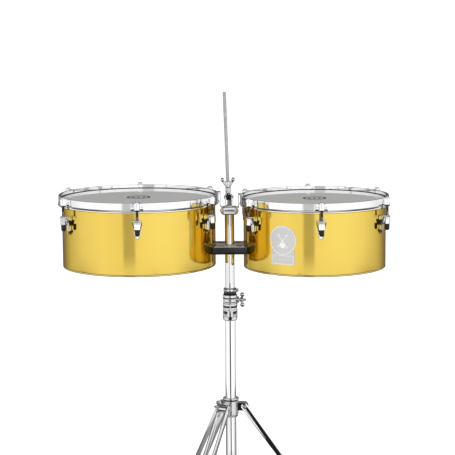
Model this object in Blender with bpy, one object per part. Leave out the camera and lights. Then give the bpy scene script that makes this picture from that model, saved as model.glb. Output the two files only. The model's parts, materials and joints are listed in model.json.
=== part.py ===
"""Timbales on a height-adjustable tripod stand.

Two single-headed metal drums hang side by side on a post. The post telescopes in
a tripod stand and carries a tilting rod for a cowbell.

Units are metres, +Z is up, the player's side is -Y, and the floor is Z = 0.
"""

import math

import bmesh
import bpy
from mathutils import Matrix, Vector

# ----------------------------------------------------------------------------
# Driving dimensions
# ----------------------------------------------------------------------------
MM = 0.001
GAP = 0.0003                  # running and seating clearance between pieces

POST_X = 0.0127               # the post's axis, so that the outline is centred on the origin
POST_R = 0.0111               # 22.2 mm post
POST_WALL = 0.0016
TUBE_R = 0.0127               # 25.4 mm stand tube
TUBE_WALL = 0.0012

DRUM_SEGMENTS = 48
LEFT_X = POST_X - 0.2099      # drum axes
RIGHT_X = POST_X + 0.1972
LEFT_R = 0.1775               # 14 inch shell
RIGHT_R = 0.1648              # 13 inch shell
LEFT_Z = 0.7700               # lower edges of the shells
RIGHT_Z = 0.7645
SHELL_WALL = 0.0012
HEAD_Z = 0.1575               # playing surface above the shell's lower edge
HOOP_TOP = 0.1665             # hoop's upper edge above the shell's lower edge
LUGS_PER_DRUM = 6
LEFT_LUG_TURN = -88.0         # the first lug's direction, in degrees from +X
RIGHT_LUG_TURN = -88.1
ROD_OFFSET = 0.0165           # tension rod axis outside the shell's surface

BLOCK_Z = (0.7995, 0.8155)
BLOCK_HALF_DEPTH = 0.054
BRIDGE_Z = (0.8868, 0.9040)

PIVOT_X = POST_X - 0.0015     # cowbell mount: centre of the fork
PIVOT_Z = 0.9260
ROD_LEAN = math.radians(1.81)  # the rod leans towards the larger drum
ROD_START_X = POST_X - 0.0020
ROD_R = 0.0040
ROD_SPAN = (0.0102, 0.2434)   # along the rod, from the pivot's axis

COLLAR_Z = (0.6367, 0.6976)   # height collar casting
HEIGHT_BOLT_Z = 0.6842
LEG_COLLAR_Z = (0.4050, 0.4510)
LEG_BOLT_Z = 0.4280

LEG_COUNT = 3
LEG_PIVOT = (0.0320, 0.4300)  # radius and height of a leg's upper pivot
LEG_LENGTH = 0.5163           # pivot to the middle of the rubber foot
LEG_SPREAD = math.radians(35.93)
BRACE_PIVOT = (0.0240, 0.1300)
BRACE_END = (0.18354, 0.22097)  # halfway down the open leg


# ----------------------------------------------------------------------------
# Scene and materials
# ----------------------------------------------------------------------------
for old in list(bpy.data.objects):
    bpy.data.objects.remove(old, do_unlink=True)

FINISHES = {
    "brass": ((0.83, 0.60, 0.16), 0.22, 1.0),
    "chrome": ((0.80, 0.81, 0.83), 0.12, 1.0),
    "steel": ((0.62, 0.63, 0.65), 0.28, 1.0),
    "film": ((0.74, 0.73, 0.71), 0.55, 0.0),
    "black": ((0.022, 0.022, 0.025), 0.50, 0.0),
    "black_rubber": ((0.018, 0.018, 0.018), 0.75, 0.0),
    "silver": ((0.80, 0.80, 0.80), 0.40, 0.2),
}


def add_object(name, bm, finish, pivot=(0.0, 0.0, 0.0), parent=None):
    """One closed body as a named object, with its origin on the pivot."""
    bmesh.ops.recalc_face_normals(bm, faces=bm.faces)
    pivot = Vector(pivot)
    bmesh.ops.translate(bm, vec=-pivot, verts=bm.verts)
    mesh = bpy.data.meshes.new(name)
    bm.to_mesh(mesh)
    bm.free()
    mesh.shade_smooth()
    mesh.set_sharp_from_angle(angle=math.radians(35))
    return place_mesh(name, mesh, finish, Matrix.Translation(pivot), parent)


def place_mesh(name, mesh, finish, matrix, parent=None):
    colour, roughness, metallic = FINISHES[finish]
    material = bpy.data.materials.new(name + "_" + finish)
    material.use_nodes = True
    shader = material.node_tree.nodes["Principled BSDF"]
    shader.inputs["Base Color"].default_value = (*colour, 1.0)
    shader.inputs["Roughness"].default_value = roughness
    shader.inputs["Metallic"].default_value = metallic
    obj = bpy.data.objects.new(name, mesh)
    bpy.context.scene.collection.objects.link(obj)
    if not mesh.materials:
        mesh.materials.append(material)
    obj.material_slots[0].link = "OBJECT"
    obj.material_slots[0].material = material
    obj.matrix_world = matrix
    if parent is not None:
        obj.parent = parent
        obj.matrix_parent_inverse = parent.matrix_world.inverted()
    return obj


def add_empty(name, position, parent=None):
    """A joint's frame: pieces that move together hang from it."""
    empty = bpy.data.objects.new(name, None)
    empty.empty_display_size = 0.02
    bpy.context.scene.collection.objects.link(empty)
    empty.matrix_world = Matrix.Translation(Vector(position))
    if parent is not None:
        empty.parent = parent
        empty.matrix_parent_inverse = parent.matrix_world.inverted()
    bpy.context.view_layer.update()
    return empty


# ----------------------------------------------------------------------------
# Modelling helpers
# ----------------------------------------------------------------------------
def turned(profile, segments, phase=0.0):
    """A closed outline of (radius, height) points turned about Z."""
    bm = bmesh.new()
    rings = []
    for r, z in profile:
        if r < 1e-7:
            rings.append([bm.verts.new((0.0, 0.0, z))])
            continue
        ring = []
        for i in range(segments):
            a = phase + 2.0 * math.pi * i / segments
            ring.append(bm.verts.new((r * math.cos(a), r * math.sin(a), z)))
        rings.append(ring)
    count = len(rings)
    for k in range(count):
        first, second = rings[k], rings[(k + 1) % count]
        if len(first) == 1 and len(second) == 1:
            continue
        for i in range(segments):
            j = (i + 1) % segments
            if len(first) == 1:
                bm.faces.new((first[0], second[i], second[j]))
            elif len(second) == 1:
                bm.faces.new((first[i], second[0], first[j]))
            else:
                bm.faces.new((first[i], second[i], second[j], first[j]))
    bmesh.ops.recalc_face_normals(bm, faces=bm.faces)
    return bm


def prism(outline, low, high):
    """A flat outline of (x, y) points raised from low to high along Z."""
    bm = bmesh.new()
    bottom = [bm.verts.new((x, y, low)) for x, y in outline]
    top = [bm.verts.new((x, y, high)) for x, y in outline]
    bm.faces.new(bottom)
    bm.faces.new(list(reversed(top)))
    for i in range(len(outline)):
        j = (i + 1) % len(outline)
        bm.faces.new((bottom[i], top[i], top[j], bottom[j]))
    bmesh.ops.recalc_face_normals(bm, faces=bm.faces)
    return bm


def side_prism(outline, low, high):
    """A flat outline of (x, z) points raised from low to high along Y."""
    bm = prism([(x, -z) for x, z in outline], low, high)
    bmesh.ops.rotate(bm, cent=(0, 0, 0), matrix=Matrix.Rotation(-math.pi / 2, 3, "X"), verts=bm.verts)
    return bm


def front_prism(outline, low, high):
    """A flat outline of (y, z) points raised from low to high along X."""
    bm = prism(outline, low, high)
    turn = Matrix(((0, 0, 1), (1, 0, 0), (0, 1, 0)))
    bmesh.ops.transform(bm, matrix=turn.to_4x4(), verts=bm.verts)
    return bm


def box(low, high):
    outline = [(low[0], low[1]), (high[0], low[1]), (high[0], high[1]), (low[0], high[1])]
    return prism(outline, low[2], high[2])


def rod(radius, low, high, segments, axis="Z", centre=(0.0, 0.0, 0.0)):
    """A cylinder along an axis through the centre."""
    bm = turned([(0, low), (radius, low), (radius, high), (0, high)], segments)
    turn_to_axis(bm, axis)
    bmesh.ops.translate(bm, vec=Vector(centre), verts=bm.verts)
    return bm


def turn_to_axis(bm, axis):
    if axis == "X":
        bmesh.ops.rotate(bm, cent=(0, 0, 0), matrix=Matrix.Rotation(math.pi / 2, 3, "Y"), verts=bm.verts)
    elif axis == "Y":
        bmesh.ops.rotate(bm, cent=(0, 0, 0), matrix=Matrix.Rotation(-math.pi / 2, 3, "X"), verts=bm.verts)


def moved(bm, matrix):
    bmesh.ops.transform(bm, matrix=matrix, verts=bm.verts)
    return bm


def rounded_strip(start, end, half_width, steps):
    """The outline of a flat bar with round ends, as (x, z) points."""
    dx, dz = end[0] - start[0], end[1] - start[1]
    heading = math.atan2(dz, dx)
    points = []
    for centre, base in ((end, heading - math.pi / 2), (start, heading + math.pi / 2)):
        for k in range(steps + 1):
            a = base + math.pi * k / steps
            points.append((centre[0] + half_width * math.cos(a), centre[1] + half_width * math.sin(a)))
    return points


def tongue_outline(root, pivot, half_width, steps=4):
    """A lug that starts square inside its ring and ends round about a pivot, as (x, z) points."""
    points = [(root, pivot[1] - half_width)]
    for k in range(steps + 1):
        a = -math.pi / 2 + math.pi * k / steps
        points.append((pivot[0] + half_width * math.cos(a), pivot[1] + half_width * math.sin(a)))
    points.append((root, pivot[1] + half_width))
    return points


def combine(first, second, operation):
    """The exact union or difference of two closed bodies."""
    pair = []
    for bm in (first, second):
        mesh = bpy.data.meshes.new("operand")
        bm.to_mesh(mesh)
        bm.free()
        obj = bpy.data.objects.new("operand", mesh)
        bpy.context.scene.collection.objects.link(obj)
        pair.append(obj)
    modifier = pair[0].modifiers.new("combine", "BOOLEAN")
    modifier.operation = operation
    modifier.solver = "EXACT"
    modifier.object = pair[1]
    graph = bpy.context.evaluated_depsgraph_get()
    mesh = bpy.data.meshes.new_from_object(pair[0].evaluated_get(graph))
    result = bmesh.new()
    result.from_mesh(mesh)
    bmesh.ops.remove_doubles(result, verts=result.verts, dist=5e-6)
    bmesh.ops.dissolve_degenerate(result, edges=result.edges, dist=2e-6)
    bmesh.ops.dissolve_limit(result, angle_limit=math.radians(0.2), verts=result.verts, edges=result.edges)
    bpy.data.meshes.remove(mesh)
    for obj in pair:
        mesh = obj.data
        bpy.data.objects.remove(obj, do_unlink=True)
        bpy.data.meshes.remove(mesh)
    return result


def joined(*bodies):
    result = bodies[0]
    for body in bodies[1:]:
        result = combine(result, body, "UNION")
    return result


def cut(body, *cutters):
    for cutter in cutters:
        body = combine(body, cutter, "DIFFERENCE")
    return body


def scaled(points):
    return [(a * MM, b * MM) for a, b in points]


# ----------------------------------------------------------------------------
# Joint frames
# ----------------------------------------------------------------------------
stand = add_empty("stand_frame", (POST_X, 0, 0))
leg_slide = add_empty("leg_collar_frame", (POST_X, 0, LEG_PIVOT[1]), stand)
post_slide = add_empty("post_frame", (POST_X, 0, 0.703), stand)
carrier = add_empty("carrier_frame", (POST_X, 0, BRIDGE_Z[1]), post_slide)
tilt = add_empty("rod_holder_frame", (PIVOT_X, 0, PIVOT_Z), carrier)
at_post = Matrix.Translation((POST_X, 0, 0))


# ----------------------------------------------------------------------------
# Drums
# ----------------------------------------------------------------------------
def shell_body(radius):
    r = radius / MM
    h = HEAD_Z / MM
    wall = SHELL_WALL / MM
    # The upper edge turns in to a bearing edge, the lower edge has a small inner bead.
    return turned(scaled([
        (r, 0.0), (r, h - 5.2), (r - 2.2, h - 0.7), (r - 3.6, h - 1.4), (r - wall, h - 6.4),
        (r - wall, 4.6), (r - 3.2, 3.0), (r - 3.2, 0.0),
    ]), DRUM_SEGMENTS)


def head_body(radius):
    r = radius / MM
    h = HEAD_Z / MM
    # A film that folds down over the bearing edge into its flesh hoop.
    return turned(scaled([
        (0, h), (r - 1.5, h), (r + 3.0, h - 5.0), (r + 4.6, h - 5.0), (r + 4.6, h - 13.7),
        (r + 0.8, h - 13.7), (r + 0.8, h - 4.5), (r - 1.8, h - 0.4), (0, h - 0.4),
    ]), DRUM_SEGMENTS)


def hoop_body(radius, first_turn):
    """Counter hoop with its welded ears, and the tension rods that hang in them."""
    r = radius / MM
    top = HOOP_TOP / MM
    ring = turned(scaled([
        (r + 5.0, top), (r + 7.4, top), (r + 7.4, 148.3), (r + 9.0, 147.4), (r + 9.0, 143.2),
        (r + 5.0, 143.2), (r + 5.0, 152.9), (r + 3.4, 152.9), (r + 3.4, 154.9), (r + 5.0, 154.9),
    ]), DRUM_SEGMENTS)
    for i in range(LUGS_PER_DRUM):
        axis_x = r + ROD_OFFSET / MM
        boss = [(r + 8.0, -7.25), (axis_x, -7.0)]
        for k in range(1, 4):
            a = -math.pi / 2 + math.pi * k / 4
            boss.append((axis_x + 7.0 * math.cos(a), 7.0 * math.sin(a)))
        boss += [(axis_x, 7.0), (r + 8.0, 7.25)]
        plate = [(r + 6.6, -14.25), (r + 9.3, -14.25), (r + 9.3, 14.25), (r + 6.6, 14.25)]
        ear = joined(prism(scaled(plate), 149.6 * MM, 166.1 * MM),
                     prism(scaled(boss), 149.0 * MM, 166.8 * MM))
        tension = turned(scaled([
            (0, 93.6), (4.2, 94.6), (5.8, 98.5), (5.8, 108.5), (3.75, 108.5),
            (3.75, 160.0), (5.25, 166.0), (5.25, 168.6), (2.8, 170.8), (0, 170.8),
        ]), 8)
        moved(tension, Matrix.Translation((axis_x * MM, 0, 0)))
        ear = joined(ear, tension)
        moved(ear, Matrix.Rotation(math.radians(first_turn + 60.0 * i), 4, "Z"))
        ring = joined(ring, ear)
    return ring


def lug_body():
    """Lug bracket on the shell's surface at x = 0: flange, tapering plate, ribs and a bolt head."""
    flange = prism(scaled([(0.4, -11), (17, -11), (21.5, -6.5), (21.5, 6.5), (17, 11), (0.4, 11)]),
                   125.8 * MM, 127.8 * MM)
    plate = front_prism(scaled([
        (-10.8, 127.0), (-10.8, 119), (-7, 106), (-7, 92), (-2.5, 84.3), (2.5, 84.3),
        (7, 92), (7, 106), (10.8, 119), (10.8, 127.0),
    ]), 0.4 * MM, 2.5 * MM)
    ribs = [side_prism(scaled([(1.5, 127.0), (11.0, 127.0), (11.0, 125.0), (2.3, 112.0), (1.5, 112.0)]),
                       y * MM, (y + 1.6) * MM) for y in (-10.2, 8.6)]
    bolt = turned(scaled([(0, 1.5), (4.4, 1.5), (4.4, 3.4), (2.4, 5.0), (0, 5.0)]), 8)
    turn_to_axis(bolt, "X")
    moved(bolt, Matrix.Translation((0, 0, 116 * MM)))
    body = joined(plate, flange, ribs[0], ribs[1], bolt)
    return cut(body, rod(4.5 * MM, 120 * MM, 132 * MM, 8, "Z", (ROD_OFFSET, 0, 0)))


def nut_body():
    """Tension nut on its own axis: hexagon with a round washer face."""
    hexagon = [(7.74 * math.cos(math.radians(60 * k)), 7.74 * math.sin(math.radians(60 * k))) for k in range(6)]
    body = joined(prism(scaled(hexagon), 108.8 * MM, 121.6 * MM),
                  turned(scaled([(0, 121.0), (7.9, 121.0), (7.9, 125.5), (0, 125.5)]), 12))
    return cut(body, rod(4.3 * MM, 100 * MM, 130 * MM, 8))


def shared_mesh(name, bm):
    bmesh.ops.recalc_face_normals(bm, faces=bm.faces)
    mesh = bpy.data.meshes.new(name)
    bm.to_mesh(mesh)
    bm.free()
    mesh.shade_smooth()
    mesh.set_sharp_from_angle(angle=math.radians(35))
    return mesh


lug_mesh = shared_mesh("lug_bracket", lug_body())
nut_mesh = shared_mesh("tension_nut", nut_body())

for side, centre_x, radius, base_z, first_turn in (
    ("left", LEFT_X, LEFT_R, LEFT_Z, LEFT_LUG_TURN),
    ("right", RIGHT_X, RIGHT_R, RIGHT_Z, RIGHT_LUG_TURN),
):
    at_drum = Matrix.Translation((centre_x, 0, base_z))
    place = (centre_x, 0, base_z)
    add_object(side + "_shell", moved(shell_body(radius), at_drum), "brass", place, carrier)
    add_object(side + "_head", moved(head_body(radius), at_drum), "film", place, carrier)
    add_object(side + "_hoop", moved(hoop_body(radius, first_turn), at_drum), "chrome", place, carrier)
    for i in range(LUGS_PER_DRUM):
        turn = at_drum @ Matrix.Rotation(math.radians(first_turn + 60.0 * i), 4, "Z")
        place_mesh(f"{side}_lug_{i + 1}", lug_mesh, "chrome",
                   turn @ Matrix.Translation((radius, 0, 0)), carrier)
        place_mesh(f"{side}_nut_{i + 1}", nut_mesh, "chrome",
                   turn @ Matrix.Translation((radius + ROD_OFFSET, 0, 0)), carrier)


def badge_body():
    """A thin round emblem over a small plate, wrapped on the right shell's surface."""
    disc_r, disc_z, plate_half, plate_z = 32.4, 80.7, 29.1, (25.0, 57.6)
    outline = [(-plate_half, plate_z[1] - 1.5), (-plate_half, plate_z[0]), (plate_half, plate_z[0]),
               (plate_half, plate_z[1] - 1.5)]
    low = math.asin((plate_z[1] - disc_z) / disc_r)
    for k in range(21):
        a = low + (math.pi - 2 * low) * k / 20
        point = (disc_r * math.cos(a), disc_z + disc_r * math.sin(a))
        outline.append((point[0], max(point[1], plate_z[1] - 1.5)))
    bm = bmesh.new()
    face = bm.faces.new([bm.verts.new((u * MM, 0, z * MM)) for u, z in outline])
    for k in range(-4, 5):
        geometry = bm.verts[:] + bm.edges[:] + bm.faces[:]
        bmesh.ops.bisect_plane(bm, geom=geometry, dist=1e-7, plane_co=(k * 6.5 * MM, 0, 0), plane_no=(1, 0, 0))
    extruded = bmesh.ops.extrude_face_region(bm, geom=bm.faces[:])
    outer = [v for v in extruded["geom"] if isinstance(v, bmesh.types.BMVert)]
    for v in outer:
        v.co.y = 0.0005
    middle = math.radians(-90.0 - 28.7)
    inner_r = RIGHT_R + 0.0004
    for v in bm.verts:
        r = inner_r + v.co.y
        a = middle + v.co.x / RIGHT_R
        v.co = (r * math.cos(a), r * math.sin(a), v.co.z)
    bmesh.ops.recalc_face_normals(bm, faces=bm.faces)
    return bm


add_object("badge", moved(badge_body(), Matrix.Translation((RIGHT_X, 0, RIGHT_Z))), "silver",
           (RIGHT_X, 0, RIGHT_Z), carrier)


# ----------------------------------------------------------------------------
# Carrier on the post
# ----------------------------------------------------------------------------
def spacer_block():
    """Keeps the two shells apart; its ends follow the shells' curves."""
    outline = []
    d = BLOCK_HALF_DEPTH
    for centre, radius, facing in ((LEFT_X - POST_X, LEFT_R + 0.0008, 1), (RIGHT_X - POST_X, RIGHT_R + 0.0008, -1)):
        for k in range(11):
            y = (d - 2 * d * k / 10) * facing
            outline.append((centre + facing * math.sqrt(radius ** 2 - y ** 2), y))
    body = prism(outline, *BLOCK_Z)
    cutters = [rod(POST_R + 0.0005, BLOCK_Z[0] - 0.01, BLOCK_Z[1] + 0.01, 24)]
    for x in (-0.0165, 0.0165):
        for y in (-0.020, 0.020):
            cutters.append(box((x - 0.0055, y - 0.0025, BLOCK_Z[1] - 0.004), (x + 0.0055, y + 0.0025, BLOCK_Z[1] + 0.004)))
    return cut(body, *cutters)


def bridge_body():
    """Cap that seats on the post's top and carries both hangers and the fork."""
    outline = scaled([(-16.6, -15), (-14, -17.5), (14, -17.5), (16.6, -15), (16.6, 15), (14, 17.5), (-14, 17.5), (-16.6, 15)])
    body = prism(outline, *BRIDGE_Z)
    bore = rod(POST_R + 0.0005, BRIDGE_Z[0] - 0.01, BRIDGE_Z[1] - 0.0031, 24)
    bolt_hole = rod(0.0036, BRIDGE_Z[1] - 0.01, BRIDGE_Z[1] + 0.01, 12)
    slot = box((-0.0105, -0.03, 0.8932), (0.0105, -0.0150, 0.8972))
    return cut(body, bore, bolt_hole, slot)


def hanger_body(side, base_z):
    """A bent strip: foot on the bridge, riser, and a hook over the hoop's inner side."""
    z = (base_z - LEFT_Z) / MM
    outline = scaled([
        (16.9, 118.0), (19.5, 118.0), (19.5, 131.8), (22.3, 136.5 + z), (22.3, 166.9 + z),
        (28.7, 166.9 + z), (28.7, 160.2 + z), (31.1, 160.2 + z), (31.1, 168.4 + z), (30.2, 169.4 + z), (20.8, 169.4 + z),
        (19.9, 168.4 + z), (19.9, 137.5 + z), (16.9, 132.8),
    ])
    outline = [(side * x, LEFT_Z + h) for x, h in outline]
    return side_prism(outline, -0.0110, 0.0110)


def yoke_body():
    """Fork with two cheeks about the cowbell pivot."""
    c = (PIVOT_X - POST_X) / MM
    z0 = BRIDGE_Z[1] / MM + 0.3
    pz = PIVOT_Z / MM
    base = box(((c - 9.0) * MM, -9.0 * MM, z0 * MM), ((c + 9.0) * MM, 9.0 * MM, (z0 + 2.6) * MM))
    cheek = [(-9.0, z0), (9.0, z0), (9.0, z0 + 4.0)]
    for k in range(9):
        a = math.pi * k / 8
        cheek.append((8.0 * math.cos(a), pz + 8.0 * math.sin(a)))
    cheek.append((-9.0, z0 + 4.0))
    cheeks = [front_prism(scaled(cheek), (c + s) * MM, (c + s + 2.6) * MM) for s in (-9.0, 6.4)]
    body = joined(base, *cheeks)
    return cut(body,
               rod(0.0029, -0.02, 0.02, 12, "X", (c * MM, 0, PIVOT_Z)),
               rod(0.0036, z0 * MM - 0.005, z0 * MM + 0.01, 12))


def yoke_bolt_body():
    hexagon = [(5.5 * math.cos(math.radians(30 + 60 * k)), 5.5 * math.sin(math.radians(30 + 60 * k))) for k in range(6)]
    z0 = BRIDGE_Z[1] / MM + 0.3 + 2.6 + 0.3
    return joined(prism(scaled(hexagon), z0 * MM, 918.6 * MM), rod(0.0030, 0.8930, 0.9120, 12))


add_object("spacer_block", moved(spacer_block(), at_post), "black", (POST_X, 0, BLOCK_Z[0]), carrier)
add_object("bridge", moved(bridge_body(), at_post), "chrome", (POST_X, 0, BRIDGE_Z[0]), carrier)
add_object("left_hanger", moved(hanger_body(-1, LEFT_Z), at_post), "chrome", (POST_X, 0, BRIDGE_Z[0]), carrier)
add_object("right_hanger", moved(hanger_body(1, RIGHT_Z), at_post), "chrome", (POST_X, 0, BRIDGE_Z[0]), carrier)
add_object("yoke", moved(yoke_body(), at_post), "chrome", (PIVOT_X, 0, PIVOT_Z), carrier)
add_object("yoke_bolt", moved(yoke_bolt_body(), at_post), "steel", (POST_X, 0, BRIDGE_Z[1]), carrier)

pin = turned(scaled([(0, -11.4), (4.0, -11.4), (4.0, -9.4), (2.5, -9.4), (2.5, 9.4), (4.0, 9.4), (4.0, 11.4), (0, 11.4)]), 12)
turn_to_axis(pin, "X")
add_object("pivot_pin", moved(pin, Matrix.Translation((PIVOT_X, 0, PIVOT_Z))), "steel", (PIVOT_X, 0, PIVOT_Z), carrier)

# The tilting group: bush, holder, rod and wing nut, along an axis that leans to the larger drum.
along_rod = Matrix.Translation((ROD_START_X, 0, PIVOT_Z)) @ Matrix.Rotation(-ROD_LEAN, 4, "Y")

bush = turned(scaled([(2.9, -5.9), (7.0, -5.9), (7.0, 5.9), (2.9, 5.9)]), 20)
turn_to_axis(bush, "X")
moved(bush, Matrix.Translation((PIVOT_X, 0, PIVOT_Z)))
socket = moved(rod(3.7 * MM, 4.2 * MM, 12 * MM, 12), along_rod)
add_object("pivot_bush", cut(bush, socket), "black", (PIVOT_X, 0, PIVOT_Z), tilt)

holder = turned(scaled([
    (0, 4.5), (3.3, 4.5), (3.3, 7.3), (4.6, 7.3), (4.6, 8.8), (6.4, 9.8), (6.4, 22.6),
    (5.1, 23.2), (5.1, 32.0), (4.35, 32.0), (4.35, 9.9), (0, 9.9),
]), 16)
add_object("rod_holder", moved(holder, along_rod), "chrome", (PIVOT_X, 0, PIVOT_Z), tilt)

stem = turned(scaled([
    (0, ROD_SPAN[0] / MM), (4.0, ROD_SPAN[0] / MM), (4.0, ROD_SPAN[1] / MM - 1.4),
    (3.1, ROD_SPAN[1] / MM), (0, ROD_SPAN[1] / MM),
]), 16)
add_object("cowbell_rod", moved(stem, along_rod), "chrome", along_rod.translation, tilt)


def wing(reach, rise, start, thickness):
    """One ear of a wing nut or wing bolt, as a bent tab in the XZ plane."""
    outline = scaled([
        (start, rise[0]), (reach * 0.62, rise[0] + (rise[1] - rise[0]) * 0.28), (reach * 0.95, rise[0] + (rise[1] - rise[0]) * 0.62),
        (reach, rise[0] + (rise[1] - rise[0]) * 0.86), (reach * 0.88, rise[1]), (reach * 0.68, rise[1] - (rise[1] - rise[0]) * 0.08),
        (reach * 0.45, rise[0] + (rise[1] - rise[0]) * 0.66), (start, rise[0] + (rise[1] - rise[0]) * 0.52),
    ])
    return side_prism(outline, -thickness / 2 * MM, thickness / 2 * MM)


def mirrored_x(bm):
    bmesh.ops.transform(bm, matrix=Matrix.Diagonal((-1, 1, 1, 1)), verts=bm.verts)
    bmesh.ops.reverse_faces(bm, faces=bm.faces)
    return bm


hub = turned(scaled([(0, 23.6), (7.4, 23.6), (7.4, 30.0), (6.2, 37.5), (0, 37.5)]), 16)
nut = joined(hub, wing(17.4, (25.0, 46.6), 3.0, 4.0), mirrored_x(wing(17.4, (25.0, 46.6), 3.0, 4.0)))
nut = cut(nut, rod(5.55 * MM, 20 * MM, 32.6 * MM, 16), rod(4.5 * MM, 18 * MM, 60 * MM, 16))
add_object("cowbell_wing_nut", moved(nut, along_rod), "chrome", along_rod.translation, tilt)


# ----------------------------------------------------------------------------
# Post, height collar and its fittings
# ----------------------------------------------------------------------------
post_top = BRIDGE_Z[1] - 0.0031 - 0.0004
add_object("post", moved(turned([(POST_R, 0.420), (POST_R, post_top), (POST_R - POST_WALL, post_top), (POST_R - POST_WALL, 0.420)], 24), at_post),
           "chrome", (POST_X, 0, 0.420), post_slide)

lock_ring = turned(scaled([(11.5, 703.0), (15.0, 703.0), (15.5, 704.0), (15.5, 712.0), (14.4, 713.3), (11.5, 713.3)]), 24)
lock_ear = side_prism(scaled([(13.0, 704.2), (18.6, 704.2), (20.4, 706.0), (20.4, 710.4), (18.6, 712.2), (13.0, 712.2)]), -0.0085, -0.0015)
lock_screw = rod(3.0 * MM, -13.5 * MM, -5 * MM, 12, "Y", (0.0168, 0, 0.7082))
memory_lock = joined(lock_ring, lock_ear, lock_screw)
add_object("memory_lock", moved(memory_lock, at_post), "chrome", (POST_X, 0, 0.703), post_slide)

band = turned(scaled([(11.5, 680.0), (12.5, 680.0), (12.5, 697.9), (14.8, 697.9), (15.1, 698.6), (15.1, 702.0), (14.6, 702.6), (11.5, 702.6)]), 24)
add_object("collar_bush", moved(band, at_post), "black", (POST_X, 0, 0.698), stand)

casting = turned(scaled([
    (11.0, 636.7), (14.9, 636.7), (15.9, 638.6), (17.4, 650.0), (17.4, 664.0), (16.6, 672.0), (16.2, 697.6), (11.0, 697.6),
]), 24)
boss = turned(scaled([(0, 13.6), (8.0, 13.6), (8.0, 20.4), (7.0, 21.6), (0, 21.6)]), 12)
turn_to_axis(boss, "X")
moved(boss, Matrix.Translation((0, 0, HEIGHT_BOLT_Z)))
casting = joined(casting, boss)
casting = cut(casting,
              rod(13.05 * MM, 600 * MM, 720 * MM, 24),
              rod(3.9 * MM, 5 * MM, 40 * MM, 8, "X", (0, 0, HEIGHT_BOLT_Z)),
              box((-0.0008, -0.03, 0.6560), (0.0008, -0.005, 0.72)))
add_object("height_collar", moved(casting, at_post), "chrome", (POST_X, 0, COLLAR_Z[0]), stand)


def wing_bolt(tip, head, span, reach):
    """A bolt along +X from tip to head with two ears up and down."""
    shaft = turned(scaled([(0, tip), (3.1, tip), (3.1, head), (6.0, head), (6.0, head + 3.0), (4.8, head + 8.4), (0, head + 8.4)]), 8)
    turn_to_axis(shaft, "X")
    ears = []
    for s in (1, -1):
        a, b = head + 1.6, reach
        outline = [(a, 1.5), (a + (b - a) * 0.25, span * 0.62), (a + (b - a) * 0.55, span * 0.95),
                   (a + (b - a) * 0.82, span), (b, span * 0.86), (b - (b - a) * 0.06, span * 0.66),
                   (a + (b - a) * 0.66, span * 0.42), (a + (b - a) * 0.5, 1.5)]
        ears.append(side_prism(scaled([(x, s * z) for x, z in outline]), -0.0022, 0.0022))
    return joined(shaft, *ears)


height_bolt = wing_bolt(13.2 - 1.5, 22.2, 18.0, 37.6)
add_object("height_wing_bolt", moved(height_bolt, Matrix.Translation((POST_X + 0.0015, 0, HEIGHT_BOLT_Z))), "chrome",
           (POST_X, 0, HEIGHT_BOLT_Z), stand)


# ----------------------------------------------------------------------------
# Tripod
# ----------------------------------------------------------------------------
add_object("stand_tube", moved(turned([(TUBE_R, 0.100), (TUBE_R, 0.675), (TUBE_R - TUBE_WALL, 0.675), (TUBE_R - TUBE_WALL, 0.100)], 24), at_post),
           "chrome", (POST_X, 0, 0.100), stand)

collar = turned(scaled([(11.0, 405.0), (15.8, 405.0), (18.2, 409.5), (18.2, 445.0), (19.0, 448.0), (19.0, 451.0), (11.0, 451.0)]), 24)
for i in range(LEG_COUNT):
    tongue = side_prism(tongue_outline(0.0140, LEG_PIVOT, 0.0095), -0.0096, 0.0096)
    collar = joined(collar, moved(tongue, Matrix.Rotation(2 * math.pi * i / LEG_COUNT, 4, "Z")))
leg_boss = turned(scaled([(0, 15.0), (6.6, 15.0), (6.6, 25.2), (0, 25.2)]), 12)
turn_to_axis(leg_boss, "X")
moved(leg_boss, Matrix.Translation((0, 0, LEG_BOLT_Z)) @ Matrix.Rotation(math.pi, 4, "Z"))
collar = joined(collar, leg_boss)
collar = cut(collar, rod(13.1 * MM, 390 * MM, 470 * MM, 24), rod(3.9 * MM, -40 * MM, -5 * MM, 8, "X", (0, 0, LEG_BOLT_Z)))
for i in range(LEG_COUNT):
    hole = rod(3.8 * MM, -12 * MM, 12 * MM, 8, "Y", (LEG_PIVOT[0], 0, LEG_PIVOT[1]))
    collar = cut(collar, moved(hole, Matrix.Rotation(2 * math.pi * i / LEG_COUNT, 4, "Z")))
add_object("leg_collar", moved(collar, at_post), "chrome", (POST_X, 0, LEG_PIVOT[1]), leg_slide)

leg_bolt = wing_bolt(13.3, 25.8, 15.5, 40.0)
add_object("leg_wing_bolt", moved(leg_bolt, Matrix.Translation((POST_X, 0, LEG_BOLT_Z)) @ Matrix.Rotation(math.pi, 4, "Z")), "chrome",
           (POST_X, 0, LEG_BOLT_Z), leg_slide)

base = turned(scaled([(11.0, 112.0), (17.0, 112.0), (17.0, 146.0), (11.0, 146.0)]), 24)
for i in range(LEG_COUNT):
    tongue = side_prism(tongue_outline(0.0145, BRACE_PIVOT, 0.0070), -0.0024, 0.0024)
    base = joined(base, moved(tongue, Matrix.Rotation(2 * math.pi * i / LEG_COUNT, 4, "Z")))
base = cut(base, rod(13.1 * MM, 90 * MM, 160 * MM, 24))
for i in range(LEG_COUNT):
    hole = rod(3.5 * MM, -8 * MM, 8 * MM, 8, "Y", (BRACE_PIVOT[0], 0, BRACE_PIVOT[1]))
    base = cut(base, moved(hole, Matrix.Rotation(2 * math.pi * i / LEG_COUNT, 4, "Z")))
add_object("base_casting", moved(base, at_post), "steel", (POST_X, 0, 0.112), stand)


def on_leg(distance):
    return (LEG_PIVOT[0] + distance * math.sin(LEG_SPREAD), LEG_PIVOT[1] - distance * math.cos(LEG_SPREAD))


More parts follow.
